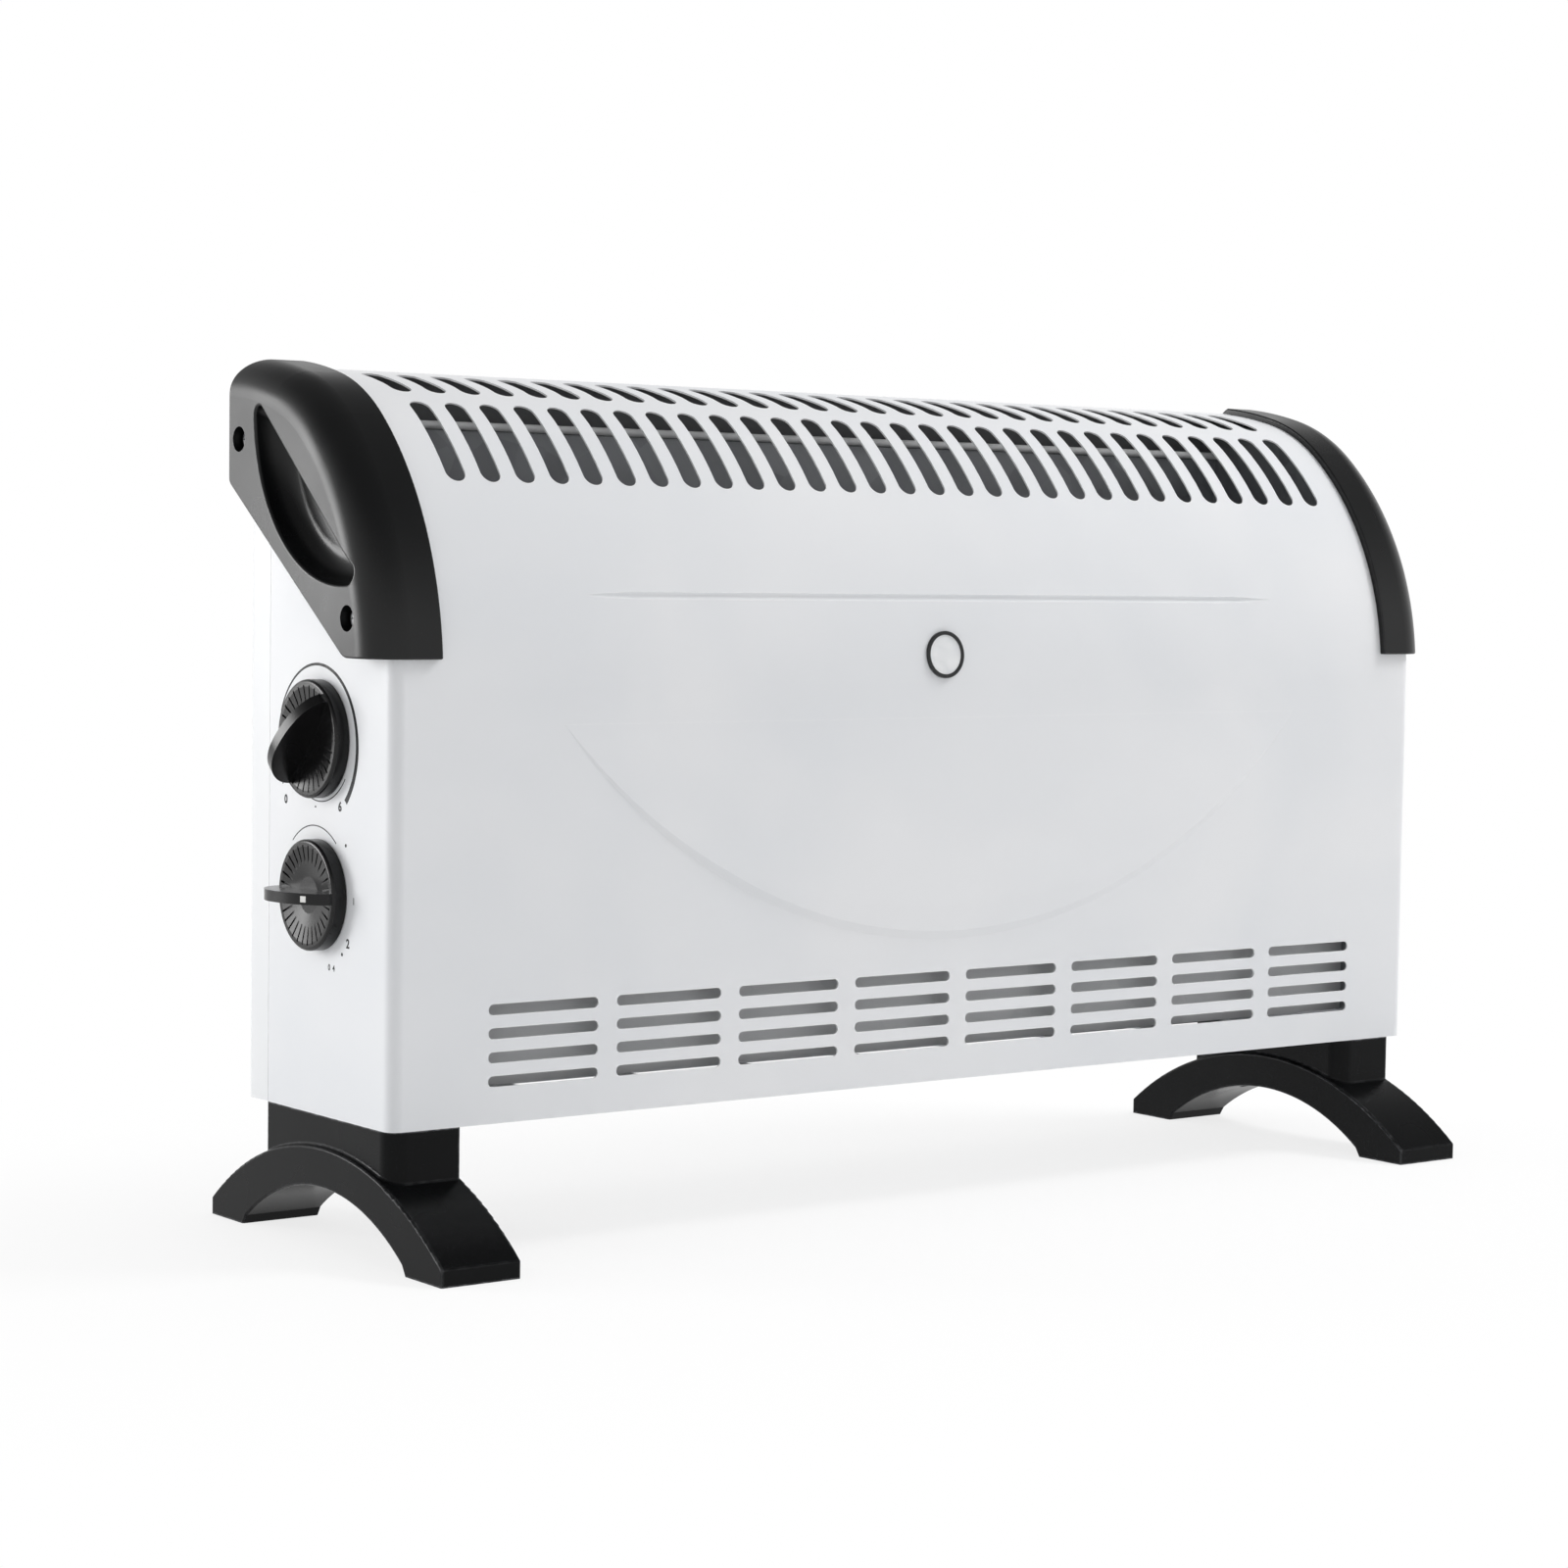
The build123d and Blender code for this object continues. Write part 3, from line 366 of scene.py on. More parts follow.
    def inside(self) -> Tree:
        """Inner side of a bent sheet, which the coat paints a darker grey: a thin priming coat and
        painted shade.

        Formula: X is measured from the middle of the sheet. The outward direction runs from
        an axis along X, at the given Y and Z, to the place on the sheet, with Z held at or
        above the axis; on the side walls, past the given X, it is along X instead. The mask
        is minus the cosine between it and the normal, spread from 0.5 to 0.7.

        Returns:
            The group, with inputs Vector, Side, Axis Y and Axis Z and output Mask.
        """
        numbers = {"Side": 0.28, "Axis Y": 0.0905, "Axis Z": 0.2324}
        tree, inlet, outlet = self.blank(Group.INSIDE, numbers, ["Mask"])
        side, axis_y, axis_z = (inlet.outputs[name] for name in numbers)
        place = axes_of(tree, inlet.outputs["Vector"]).outputs
        x = sum_of(tree, "SUBTRACT", place["X"], self.sheet_middle)
        y = sum_of(tree, "SUBTRACT", place["Y"], axis_y)
        z = sum_of(tree, "MAXIMUM", sum_of(tree, "SUBTRACT", place["Z"], axis_z), 0.0)
        wall = sum_of(tree, "GREATER_THAN", sum_of(tree, "ABSOLUTE", x, 0.0), side)
        shell = sum_of(tree, "SUBTRACT", 1.0, wall)
        outward = add_node(tree, "CombineXYZ")
        for name, length, share in (("X", x, wall), ("Y", y, shell), ("Z", z, shell)):
            tree.links.new(sum_of(tree, "MULTIPLY", length, share), outward.inputs[name])
        unit = add_node(tree, "VectorMath")
        unit.operation = "NORMALIZE"
        tree.links.new(outward.outputs["Vector"], unit.inputs[0])
        mask = ramp(tree, self.cosine(tree, unit.outputs["Vector"]), self.inner_span)
        tree.links.new(mask, outlet.inputs["Mask"])
        return tree


BENCH = GroupBench()


class Recipe:
    """A material while it is put together around one Principled shader."""

    def __init__(self, name: str, **values: float) -> None:
        """Material with its shader and object coordinates.

        Args:
            name: Name of the material.
            values: Value of each of the shader's inputs, as fill takes them.
        """
        self.material = bpy.data.materials.new(name)
        self.material.use_nodes = True
        self.tree = self.material.node_tree
        self.shader = fill(self.tree.nodes["Principled BSDF"], values)
        self.place = self.node("TexCoord").outputs["Object"]

    def node(self, kind: str, **values: float | tuple) -> Node:
        """New node in this material, as add_node makes it."""
        return add_node(self.tree, kind, **values)

    def link(self, source: Socket, target: Socket) -> None:
        """Join two sockets."""
        self.tree.links.new(source, target)

    def effect(self, kind: Group, vector: Socket | None = None, **values: float) -> Node:
        """Shared effect placed in this material.

        Args:
            kind: The effect.
            vector: Coordinates, or None for the object's own.
            values: Value of each of the group's inputs, as fill takes them.

        Returns:
            The group node.
        """
        made = self.node("Group")
        made.node_tree = BENCH.get(kind)
        self.link(vector or self.place, made.inputs["Vector"])
        return fill(made, values)

    def mapped(self, **values: Point) -> Socket:
        """Object coordinates that are moved or stretched.

        Args:
            values: Location or Scale along X, Y and Z.

        Returns:
            The coordinates.
        """
        mapping = self.node("Mapping", **values)
        self.link(self.place, mapping.inputs["Vector"])
        return mapping.outputs["Vector"]

    def flakes(self, scale: float, vector: Socket | None = None) -> Node:
        """Three unlike values, each even over one flake or crystal.

        Args:
            scale: Flakes to a metre.
            vector: Coordinates, or None for the object's own.

        Returns:
            A node with outputs Red, Green and Blue.
        """
        cells = self.node("TexVoronoi", Scale=scale)
        tones = self.node("SeparateColor")
        self.link(vector or self.place, cells.inputs["Vector"])
        self.link(cells.outputs["Color"], tones.inputs["Color"])
        return tones

    def over(self, base: Socket | Colour, factor: Socket, colour: Colour) -> Socket:
        """Colour laid over another by a mask.

        Args:
            base: The colour underneath, linked or plain.
            factor: The mask.
            colour: The colour on top.

        Returns:
            The mixed colour.
        """
        mix = self.node("Mix")
        mix.data_type = "RGBA"
        mix.inputs["B"].default_value = colour
        if isinstance(base, tuple):
            mix.inputs["A"].default_value = base
        else:
            self.link(base, mix.inputs["A"])
        self.link(factor, mix.inputs["Factor"])
        return mix.outputs["Result"]

    def between(self, value: Socket, result: Span) -> Socket:
        """Value of 0 to 1 spread between two numbers."""
        return ramp(self.tree, value, (0.0, 1.0), result)

    def cloud(self, scale: float) -> Socket:
        """Slow change of 0 to 1 over the surface."""
        return self.effect(Group.CLOUD, Scale=scale).outputs["Value"]

    def edge(self, radius: float) -> Socket:
        """Mask of the edges, out to a radius in metres."""
        return self.effect(Group.EDGE, Radius=radius).outputs["Mask"]

    def finish(self, colour: Socket, haze: Socket, gloss: Span, height: Socket,
               relief: Span) -> Material:
        """Link the colour, the roughness and a bump.

        Args:
            colour: The colour.
            haze: Value of 0 to 1 that goes from the least to the most roughness.
            gloss: Least and most roughness.
            height: Height of 0 to 1.
            relief: Its depth in metres, and the share of it that shows.

        Returns:
            The material.
        """
        bump = self.node("Bump", Distance=relief[0], Strength=relief[1])
        self.link(height, bump.inputs["Height"])
        self.link(bump.outputs["Normal"], self.shader.inputs["Normal"])
        self.link(colour, self.shader.inputs["Base Color"])
        self.link(self.between(haze, gloss), self.shader.inputs["Roughness"])
        return self.material


# ---------------------------------------------------------------- finishes
# In each finish, gloss and relief are what Recipe.finish takes.

@dataclass(frozen=True)
class PowderCoat:
    """Stoved powder coat on steel: faint orange peel, uneven gloss, pale edges that are partly
    rubbed wear and partly a painted highlight, and an inner side painted darker as priming coat
    and shade.
    """

    name: str
    tone: Colour = linear(237, 238, 240)
    shade: Colour = linear(231, 233, 236)
    bare_and_highlight: Colour = linear(252, 252, 252)
    dusty: Colour = linear(176, 172, 164)
    primer_and_shade: Colour = linear(112, 113, 115)
    gloss: Span = (0.36, 0.48)
    specular: float = 0.4
    cloud_scale: float = 9.0
    peel_scale: float = 650.0
    relief: Span = (0.00002, 0.35)
    edge_radius: float = 0.0009
    dust: float = 0.04
    axis: Span = (0.0905, 0.2324)

    def build(self) -> Material:
        """Material of the coat.

        Returns:
            The material.
        """
        recipe = Recipe(self.name, Specular_IOR_Level=self.specular)
        cloud = recipe.cloud(self.cloud_scale)
        grain = recipe.effect(Group.GRAIN, Scale=self.peel_scale).outputs["Height"]
        edge = recipe.edge(self.edge_radius)
        dust = recipe.effect(Group.DUST, Amount=self.dust).outputs["Mask"]
        inner = recipe.effect(Group.INSIDE, Axis_Y=self.axis[0], Axis_Z=self.axis[1])
        tone = recipe.over(self.tone, cloud, self.shade)
        # Pale edges: partly rubbed wear, partly a painted highlight where the lit edges of the
        # sheet and its slots catch the light.
        tone = recipe.over(tone, edge, self.bare_and_highlight)
        tone = recipe.over(tone, dust, self.dusty)
        # Inner side painted a darker grey: a thin priming coat, and painted shade where the inside
        # of the shell lies in shadow.
        tone = recipe.over(tone, inner.outputs["Mask"], self.primer_and_shade)
        return recipe.finish(tone, cloud, self.gloss, grain, self.relief)


@dataclass(frozen=True)
class Moulding:
    """Black injection-moulded plastic with a spark-eroded skin, scuffed where it is touched; on
    the feet its pale edges are a painted highlight.
    """

    name: str
    tone: Colour = linear(18, 19, 21)
    speck: Colour = linear(24, 25, 28)
    scuff_and_highlight: Colour = linear(58, 59, 62)
    dusty: Colour = linear(120, 117, 110)
    gloss: Span = (0.24, 0.36)
    specular: float = 0.3
    cloud_scale: float = 22.0
    skin_scale: float = 1500.0
    relief: Span = (0.00002, 0.5)
    edge_radius: float = 0.0006
    dust: float = 0.006

    def build(self) -> Material:
        """Material of the plastic.

        Returns:
            The material.
        """
        recipe = Recipe(self.name, Specular_IOR_Level=self.specular)
        cloud = recipe.cloud(self.cloud_scale)
        grain = recipe.effect(Group.GRAIN, Scale=self.skin_scale)
        edge = recipe.edge(self.edge_radius)
        dust = recipe.effect(Group.DUST, Amount=self.dust).outputs["Mask"]
        tone = recipe.over(self.tone, grain.outputs["Speck"], self.speck)
        # Pale edges: rubbed wear, and on the feet a painted highlight of the lit fillets.
        tone = recipe.over(tone, edge, self.scuff_and_highlight)
        tone = recipe.over(tone, dust, self.dusty)
        return recipe.finish(tone, cloud, self.gloss, grain.outputs["Height"], self.relief)


@dataclass(frozen=True)
class Galvanised:
    """Zinc-coated or primed sheet with flat crystals, and a white band where one is wanted, which
    is a painted highlight of a rolled edge.

    The painted highlight is everything above hem_height, and fades in over hem_blur; there the
    sheet loses its metal shine.
    """

    name: str
    light: Colour = linear(168, 171, 174)
    dark: Colour = linear(152, 155, 159)
    worn: Colour = linear(206, 208, 210)
    hem_highlight: Colour = linear(236, 237, 238)
    gloss: Span = (0.38, 0.52)
    metallic: float = 0.9
    crystal_scale: float = 110.0
    rolled: Point = (0.06, 1.0, 1.0)
    rolled_scale: float = 900.0
    relief: Span = (0.00003, 0.3)
    edge_radius: float = 0.0004
    hem_height: float | None = None
    hem_blur: float = 0.0006

    def build(self) -> Material:
        """Material of the sheet.

        Returns:
            The material.
        """
        recipe = Recipe(self.name, Metallic=self.metallic)
        crystals = recipe.flakes(self.crystal_scale).outputs
        along = recipe.mapped(Scale=self.rolled)
        lines = recipe.effect(Group.GRAIN, along, Scale=self.rolled_scale).outputs["Height"]
        edge = recipe.edge(self.edge_radius)
        tone = recipe.over(self.light, crystals["Red"], self.dark)
        # Painted highlight: above hem_height the rolled edge is whitened and made non-metallic.
        if self.hem_height is not None:
            height = axes_of(recipe.tree, recipe.place).outputs["Z"]
            hem_highlight = ramp(recipe.tree, height, (self.hem_height, self.hem_height + self.hem_blur))
            tone = recipe.over(tone, hem_highlight, self.hem_highlight)
            shine = recipe.between(hem_highlight, (self.metallic, 0.0))
            recipe.link(shine, recipe.shader.inputs["Metallic"])
        tone = recipe.over(tone, edge, self.worn)
        return recipe.finish(tone, crystals["Green"], self.gloss, lines, self.relief)


@dataclass(frozen=True)
class TurnedMetal:
    """Plated or turned metal with fine drawn lines."""

    name: str
    light: Colour = linear(196, 197, 198)
    dark: Colour = linear(150, 152, 155)
    worn: Colour = linear(226, 226, 226)
    gloss: Span = (0.22, 0.38)
    cloud_scale: float = 160.0
    drawn: Point = (0.05, 1.0, 1.0)
    line_scale: float = 2400.0
    relief: Span = (0.00001, 0.4)
    edge_radius: float = 0.0002

    def build(self) -> Material:
        """Material of the metal.

        Returns:
            The material.
        """
        recipe = Recipe(self.name, Metallic=1.0)
        along = recipe.mapped(Scale=self.drawn)
        lines = recipe.effect(Group.GRAIN, along, Scale=self.line_scale).outputs["Height"]
        cloud = recipe.cloud(self.cloud_scale)
        edge = recipe.edge(self.edge_radius)
        tone = recipe.over(self.light, cloud, self.dark)
        tone = recipe.over(tone, edge, self.worn)
        return recipe.finish(tone, lines, self.gloss, lines, self.relief)


@dataclass(frozen=True)
class RadialMetal:
    """Spun finish of the badge: fine rings around its middle catch the light."""

    name: str
    centre: Point
    light: Colour = linear(240, 241, 242)
    dark: Colour = linear(228, 230, 232)
    gloss: Span = (0.24, 0.4)
    metallic: float = 0.1
    cloud_scale: float = 90.0
    ring_scale: float = 900.0
    relief: Span = (0.00001, 0.35)

    def build(self) -> Material:
        """Material of the spun disc.

        Formula: rings are bands of the distance from the disc's axis, broken by noise.

        Returns:
            The material.
        """
        recipe = Recipe(self.name, Metallic=self.metallic)
        rings = recipe.node("TexWave", Scale=self.ring_scale, Distortion=1.2, Detail=2.0)
        rings.wave_type = "RINGS"
        rings.rings_direction = "Y"
        centred = recipe.mapped(Location=tuple(-value for value in self.centre))
        recipe.link(centred, rings.inputs["Vector"])
        bands = rings.outputs["Fac"]
        cloud = recipe.cloud(self.cloud_scale)
        tone = recipe.over(self.light, cloud, self.dark)
        return recipe.finish(tone, bands, self.gloss, bands, self.relief)


@dataclass(frozen=True)
class Mica:
    """Pressed mica board: overlapping translucent flakes with brown veins."""

    name: str
    light: Colour = linear(196, 178, 142)
    dark: Colour = linear(128, 106, 74)
    vein: Colour = linear(92, 70, 44)
    vein_share: Span = (0.0, 0.35)
    gloss: Span = (0.28, 0.5)
    flake_scale: float = 240.0
    flake_stretch: Point = (1.0, 1.0, 1.7)
    cloud_scale: float = 45.0
    relief: Span = (0.00006, 0.4)

    def build(self) -> Material:
        """Material of the board.

        Returns:
            The material.
        """
        recipe = Recipe(self.name)
        flakes = recipe.flakes(self.flake_scale, recipe.mapped(Scale=self.flake_stretch)).outputs
        cloud = recipe.cloud(self.cloud_scale)
        tone = recipe.over(self.light, flakes["Red"], self.dark)
        tone = recipe.over(tone, recipe.between(cloud, self.vein_share), self.vein)
        return recipe.finish(tone, flakes["Green"], self.gloss, flakes["Blue"], self.relief)


@dataclass(frozen=True)
class HotRibbon:
    """Nickel-chrome ribbon with the straw and blue bands that heat leaves."""

    name: str
    straw: Colour = linear(122, 112, 102)
    blue: Colour = linear(84, 86, 98)
    burnt: Colour = linear(138, 104, 66)
    burnt_share: Span = (0.0, 0.6)
    gloss: Span = (0.3, 0.5)
    cloud_scale: float = 60.0
    drawn: Point = (0.1, 1.0, 1.0)
    line_scale: float = 1800.0
    relief: Span = (0.00001, 0.4)

    def build(self) -> Material:
        """Material of the ribbon.

        Returns:
            The material.
        """
        recipe = Recipe(self.name, Metallic=1.0)
        cloud = recipe.cloud(self.cloud_scale)
        lines = recipe.effect(Group.GRAIN, recipe.mapped(Scale=self.drawn), Scale=self.line_scale)
        tone = recipe.over(self.straw, cloud, self.blue)
        burnt = recipe.between(lines.outputs["Speck"], self.burnt_share)
        tone = recipe.over(tone, burnt, self.burnt)
        return recipe.finish(tone, cloud, self.gloss, lines.outputs["Height"], self.relief)


@dataclass(frozen=True)
class Glaze:
    """Pressed and part-glazed body, such as the steatite of a terminal block."""

    name: str
    tone: Colour = linear(228, 224, 214)
    stain: Colour = linear(196, 186, 168)
    worn: Colour = linear(240, 238, 232)
    speck_share: Span = (0.0, 0.4)
    gloss: Span = (0.3, 0.55)
    cloud_scale: float = 70.0
    grain_scale: float = 1300.0
    relief: Span = (0.00004, 0.4)
    edge_radius: float = 0.0005

    def build(self) -> Material:
        """Material of the body.

        Returns:
            The material.
        """
        recipe = Recipe(self.name)
        cloud = recipe.cloud(self.cloud_scale)
        grain = recipe.effect(Group.GRAIN, Scale=self.grain_scale)
        edge = recipe.edge(self.edge_radius)
        specks = recipe.between(grain.outputs["Speck"], self.speck_share)
        tone = recipe.over(self.tone, cloud, self.stain)
        tone = recipe.over(tone, specks, self.stain)
        tone = recipe.over(tone, edge, self.worn)
        return recipe.finish(tone, cloud, self.gloss, grain.outputs["Height"], self.relief)


@dataclass(frozen=True)
class PrintInk:
    """Pad-printed ink: thin, a little uneven and less glossy than the coat under it."""

    name: str
    tone: Colour = linear(14, 15, 17)
    thin: Colour = linear(32, 33, 36)
    speck_share: Span = (0.0, 0.3)
    gloss: Span = (0.4, 0.6)
    specular: float = 0.3
    cloud_scale: float = 320.0
    grain_scale: float = 2600.0
    relief: Span = (0.00001, 0.3)

    def build(self) -> Material:
        """Material of the print.

        Returns:
            The material.
        """
        recipe = Recipe(self.name, Specular_IOR_Level=self.specular)
        grain = recipe.effect(Group.GRAIN, Scale=self.grain_scale)
        cloud = recipe.cloud(self.cloud_scale)
        specks = recipe.between(grain.outputs["Speck"], self.speck_share)
        tone = recipe.over(self.tone, cloud, self.thin)
        tone = recipe.over(tone, specks, self.thin)
        return recipe.finish(tone, cloud, self.gloss, grain.outputs["Height"], self.relief)


# ---------------------------------------------------------------- surfaces

def grid_quads(rows: int, columns: int, ring: bool = True) -> np.ndarray:
    """Four-sided faces of a grid of points.

    Formula: point (i, j) has number i times columns plus j; a face takes (i, j), (i+1, j),
    (i+1, j+1) and (i, j+1), and j wraps round when the columns form a ring.

    Args:
        rows: Points along the first parameter.
        columns: Points along the second parameter.
        ring: True where the columns close on themselves.

    Returns:
        Point numbers, four to a face.
    """
    here = np.arange(rows - 1)[:, None] * columns
    below = here + columns
    j = np.arange(columns if ring else columns - 1)[None, :]
    after = (j + 1) % columns
    return np.stack([here + j, below + j, below + after, here + after], -1).reshape(-1, 4)


def closed_mesh(name: str, grids: list[np.ndarray]) -> bpy.types.Mesh:
    """Mesh of closed bodies, each a stack of rings with its two ends capped.

    Args:
        name: Name of the mesh.
        grids: Points of each body, as rings by points by 3.

    Returns:
        The mesh, with its faces outwards.
    """
    points, faces, start = [], [], 0
    for grid in grids:
        rows, columns = grid.shape[:2]
        points.append(grid.reshape(-1, 3))
        faces += (grid_quads(rows, columns) + start).tolist()
        faces.append((np.arange(columns) + start).tolist())
        faces.append((np.arange(columns)[::-1] + start + (rows - 1) * columns).tolist())
        start += rows * columns
    mesh = bpy.data.meshes.new(name)
    mesh.from_pydata(np.concatenate(points).tolist(), [], faces)
    face_outwards(mesh)
    return mesh


def face_outwards(mesh: bpy.types.Mesh) -> None:
    """Turn the faces of closed bodies outwards.

    Args:
        mesh: Mesh of the bodies.
    """
    shape = bmesh.new()
    shape.from_mesh(mesh)
    bmesh.ops.recalc_face_normals(shape, faces=shape.faces)
    shape.to_mesh(mesh)
    shape.free()


def new_object(name: str, data: bpy.types.ID) -> bpy.types.Object:
    """Object that holds a mesh, curve, lamp or camera, linked into the scene.

    Args:
        name: Name of the object.
        data: What it holds.

    Returns:
        The object, at the origin.
    """
    made = bpy.data.objects.new(name, data)
    bpy.context.scene.collection.objects.link(made)
    return made


def add_piece(name: str, mesh: bpy.types.Mesh, material: Material, body: Body) -> None:
    """Make a piece of a finished mesh, flat-faced, dressed and riding on its body.

    Args:
        name: Name of the piece.
        mesh: Its mesh, in place.
        material: Its material.
        body: The body that it moves with.
    """
    mesh.name = name
    mesh.materials.append(material)
    mesh.polygons.foreach_set("use_smooth", np.zeros(len(mesh.polygons), bool))
    piece = new_object(name, mesh)
    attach(piece, body.value)
    log.info("made %s: %d faces", name, len(mesh.polygons))


def dress(names: list[str], material: Material) -> None:
    """Give CAD nodes their material.

    Args:
        names: The nodes.
        material: The material for all their slots.
    """
    for name in names:
        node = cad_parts[name]
        if not node.material_slots:
            node.data.materials.append(material)
        for place in node.material_slots:
            place.material = material
        log.info("dressed %s in %s", name, material.name)


# ---------------------------------------------------------------- sub-assemblies

@dataclass
class Casing:
    """White coated shell, its back cover and its galvanised floor."""

    white: PowderCoat = PowderCoat("casing white")
    rear: PowderCoat = PowderCoat(
        "cover white", tone=linear(240, 241, 242), shade=linear(234, 236, 238),
        axis=(-0.2, 0.2324))

    def build(self, zinc: Material) -> None:
        """Dress the shell.

        Args:
            zinc: Material of the floor.
        """
        dress(["front_casing"], self.white.build())
        dress(["back_cover"], self.rear.build())
        dress(["base_plate"], zinc)


@dataclass
class EndCaps:
    """Black end caps with their grip recesses."""

    plastic: Moulding = Moulding(
        "cap black", tone=linear(12, 13, 14), scuff_and_highlight=linear(84, 85, 88), gloss=(0.26, 0.36),
        specular=0.34, edge_radius=0.0009)

    def build(self) -> None:
        """Dress both caps."""
        dress(["left_end_cap", "right_end_cap"], self.plastic.build())


@dataclass
class Badge:
    """Round badge, left blank: a spun disc in a dark rim."""

    rim: Moulding = Moulding(
        "badge rim", tone=linear(28, 29, 31), scuff_and_highlight=linear(72, 73, 76), gloss=(0.25, 0.35),
        specular=0.4, skin_scale=3200.0, relief=(0.000006, 0.5), dust=0.0)

    def build(self) -> None:
        """Dress the rim and the disc."""
        low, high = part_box("badge_disc")
        centre = tuple(float(a + b) / 2 for a, b in zip(low, high))
        dress(["badge_bezel"], self.rim.build())
        dress(["badge_disc"], RadialMetal("badge silver", centre).build())


@dataclass
class DialPrint:
    """Printed scale around a control on the left-hand side of the casing, in millimetres.

    Each of bands is what the method band takes, and each of words is what word takes. The
    print reaches from sunk, inside the wall at wall_x, to its thickness outside it.
    """

    name: str
    bands: list[tuple]
    words: list[tuple]
    wall_x: float = -282.75
    thickness: float = 0.07
    sunk: float = 0.02
    steps: int = 96
    swell: float = 1.4
    type_size: float = 1.38
    curve_steps: int = 6

    def band(self, centre: Span, radius: float, start: float, end: float,
             width: Span) -> np.ndarray:
        """Arc of print whose width changes along it.

        Formula: at angle a, which runs evenly from start to end, a ring of four corners
        stands at the radius plus and minus half the width, at the wall's two depths; its
        place is the centre minus radius times the cosine of a along Y, and plus radius
        times the sine of a along Z. The width goes from its first to its last value by the
        share of the way to the power of the swell.

        Args:
            centre: Middle of the arc, Y and Z in millimetres.
            radius: Radius to the middle of the line, in millimetres.
            start: First angle in degrees from the front, upwards.
            end: Last angle.
            width: Line width at the start and the end, in millimetres.

        Returns:
            Rings of four corners, in metres.
        """
        share = np.linspace(0.0, 1.0, self.steps)
        angle = np.radians(start + (end - start) * share)[:, None]
        wide = (width[0] + (width[1] - width[0]) * share ** self.swell)[:, None]
        side = np.array([-0.5, 0.5, 0.5, -0.5])[None, :]
        depth = np.array([self.sunk, self.sunk, -self.thickness, -self.thickness])[None, :]
        reach = radius + wide * side
        x = np.broadcast_to(self.wall_x + depth, reach.shape)
        y = centre[0] - reach * np.cos(angle)
        z = centre[1] + reach * np.sin(angle)
        return np.stack([x, y, z], -1) * MM

    def word(self, text: str, place: Span, height: float, weight: float) -> bpy.types.Mesh:
        """Numeral as a thin solid on the wall.

        Formula: the numeral is made flat, then its X becomes minus Y, its Y becomes Z and
        its Z becomes minus X, about its own middle, which goes to the given place.

        Args:
            text: The numeral.
            place: Its middle, Y and Z in millimetres.
            height: Height of a figure in millimetres.
            weight: How much its strokes grow, in millimetres.

        Returns:
            A mesh of the numeral, in metres, in place.
        """
        curve = bpy.data.curves.new(self.name + "_figure", "FONT")
        curve.body = text
        curve.size = height * self.type_size
        curve.offset = weight
        curve.extrude = (self.thickness + self.sunk) / 2
        curve.align_x = "CENTER"
        curve.align_y = "CENTER"
        curve.resolution_u = self.curve_steps
        holder = new_object(curve.name, curve)
        bpy.context.view_layer.update()
        shaped = holder.evaluated_get(bpy.context.evaluated_depsgraph_get())
        mesh = bpy.data.meshes.new_from_object(shaped)
        bpy.data.objects.remove(holder)
        bpy.data.curves.remove(curve)
        flat = np.zeros(len(mesh.vertices) * 3)
        mesh.vertices.foreach_get("co", flat)
        flat = flat.reshape(-1, 3)
        middle = (flat.min(0) + flat.max(0)) / 2
        out = (self.thickness - self.sunk) / 2
        solid = np.stack([
            self.wall_x - out - (flat[:, 2] - middle[2]),
            place[0] - (flat[:, 0] - middle[0]),
            place[1] + (flat[:, 1] - middle[1]),
        ], -1) * MM
        mesh.vertices.foreach_set("co", solid.astype(np.float32).ravel())
        mesh.update()
        return mesh

    def build(self, ink: Material) -> None:
        """Make the printed lines and figures.

        Args:
            ink: Material of the print.
        """
        grids = [self.band(*band) for band in self.bands]
        scale = closed_mesh(self.name, grids)
        add_piece(self.name + "_scale", scale, ink, Body.HEATER)
        for number, word in enumerate(self.words, 1):
            name = f"{self.name}_figure_{number}"
            add_piece(name, self.word(*word), ink, Body.HEATER)


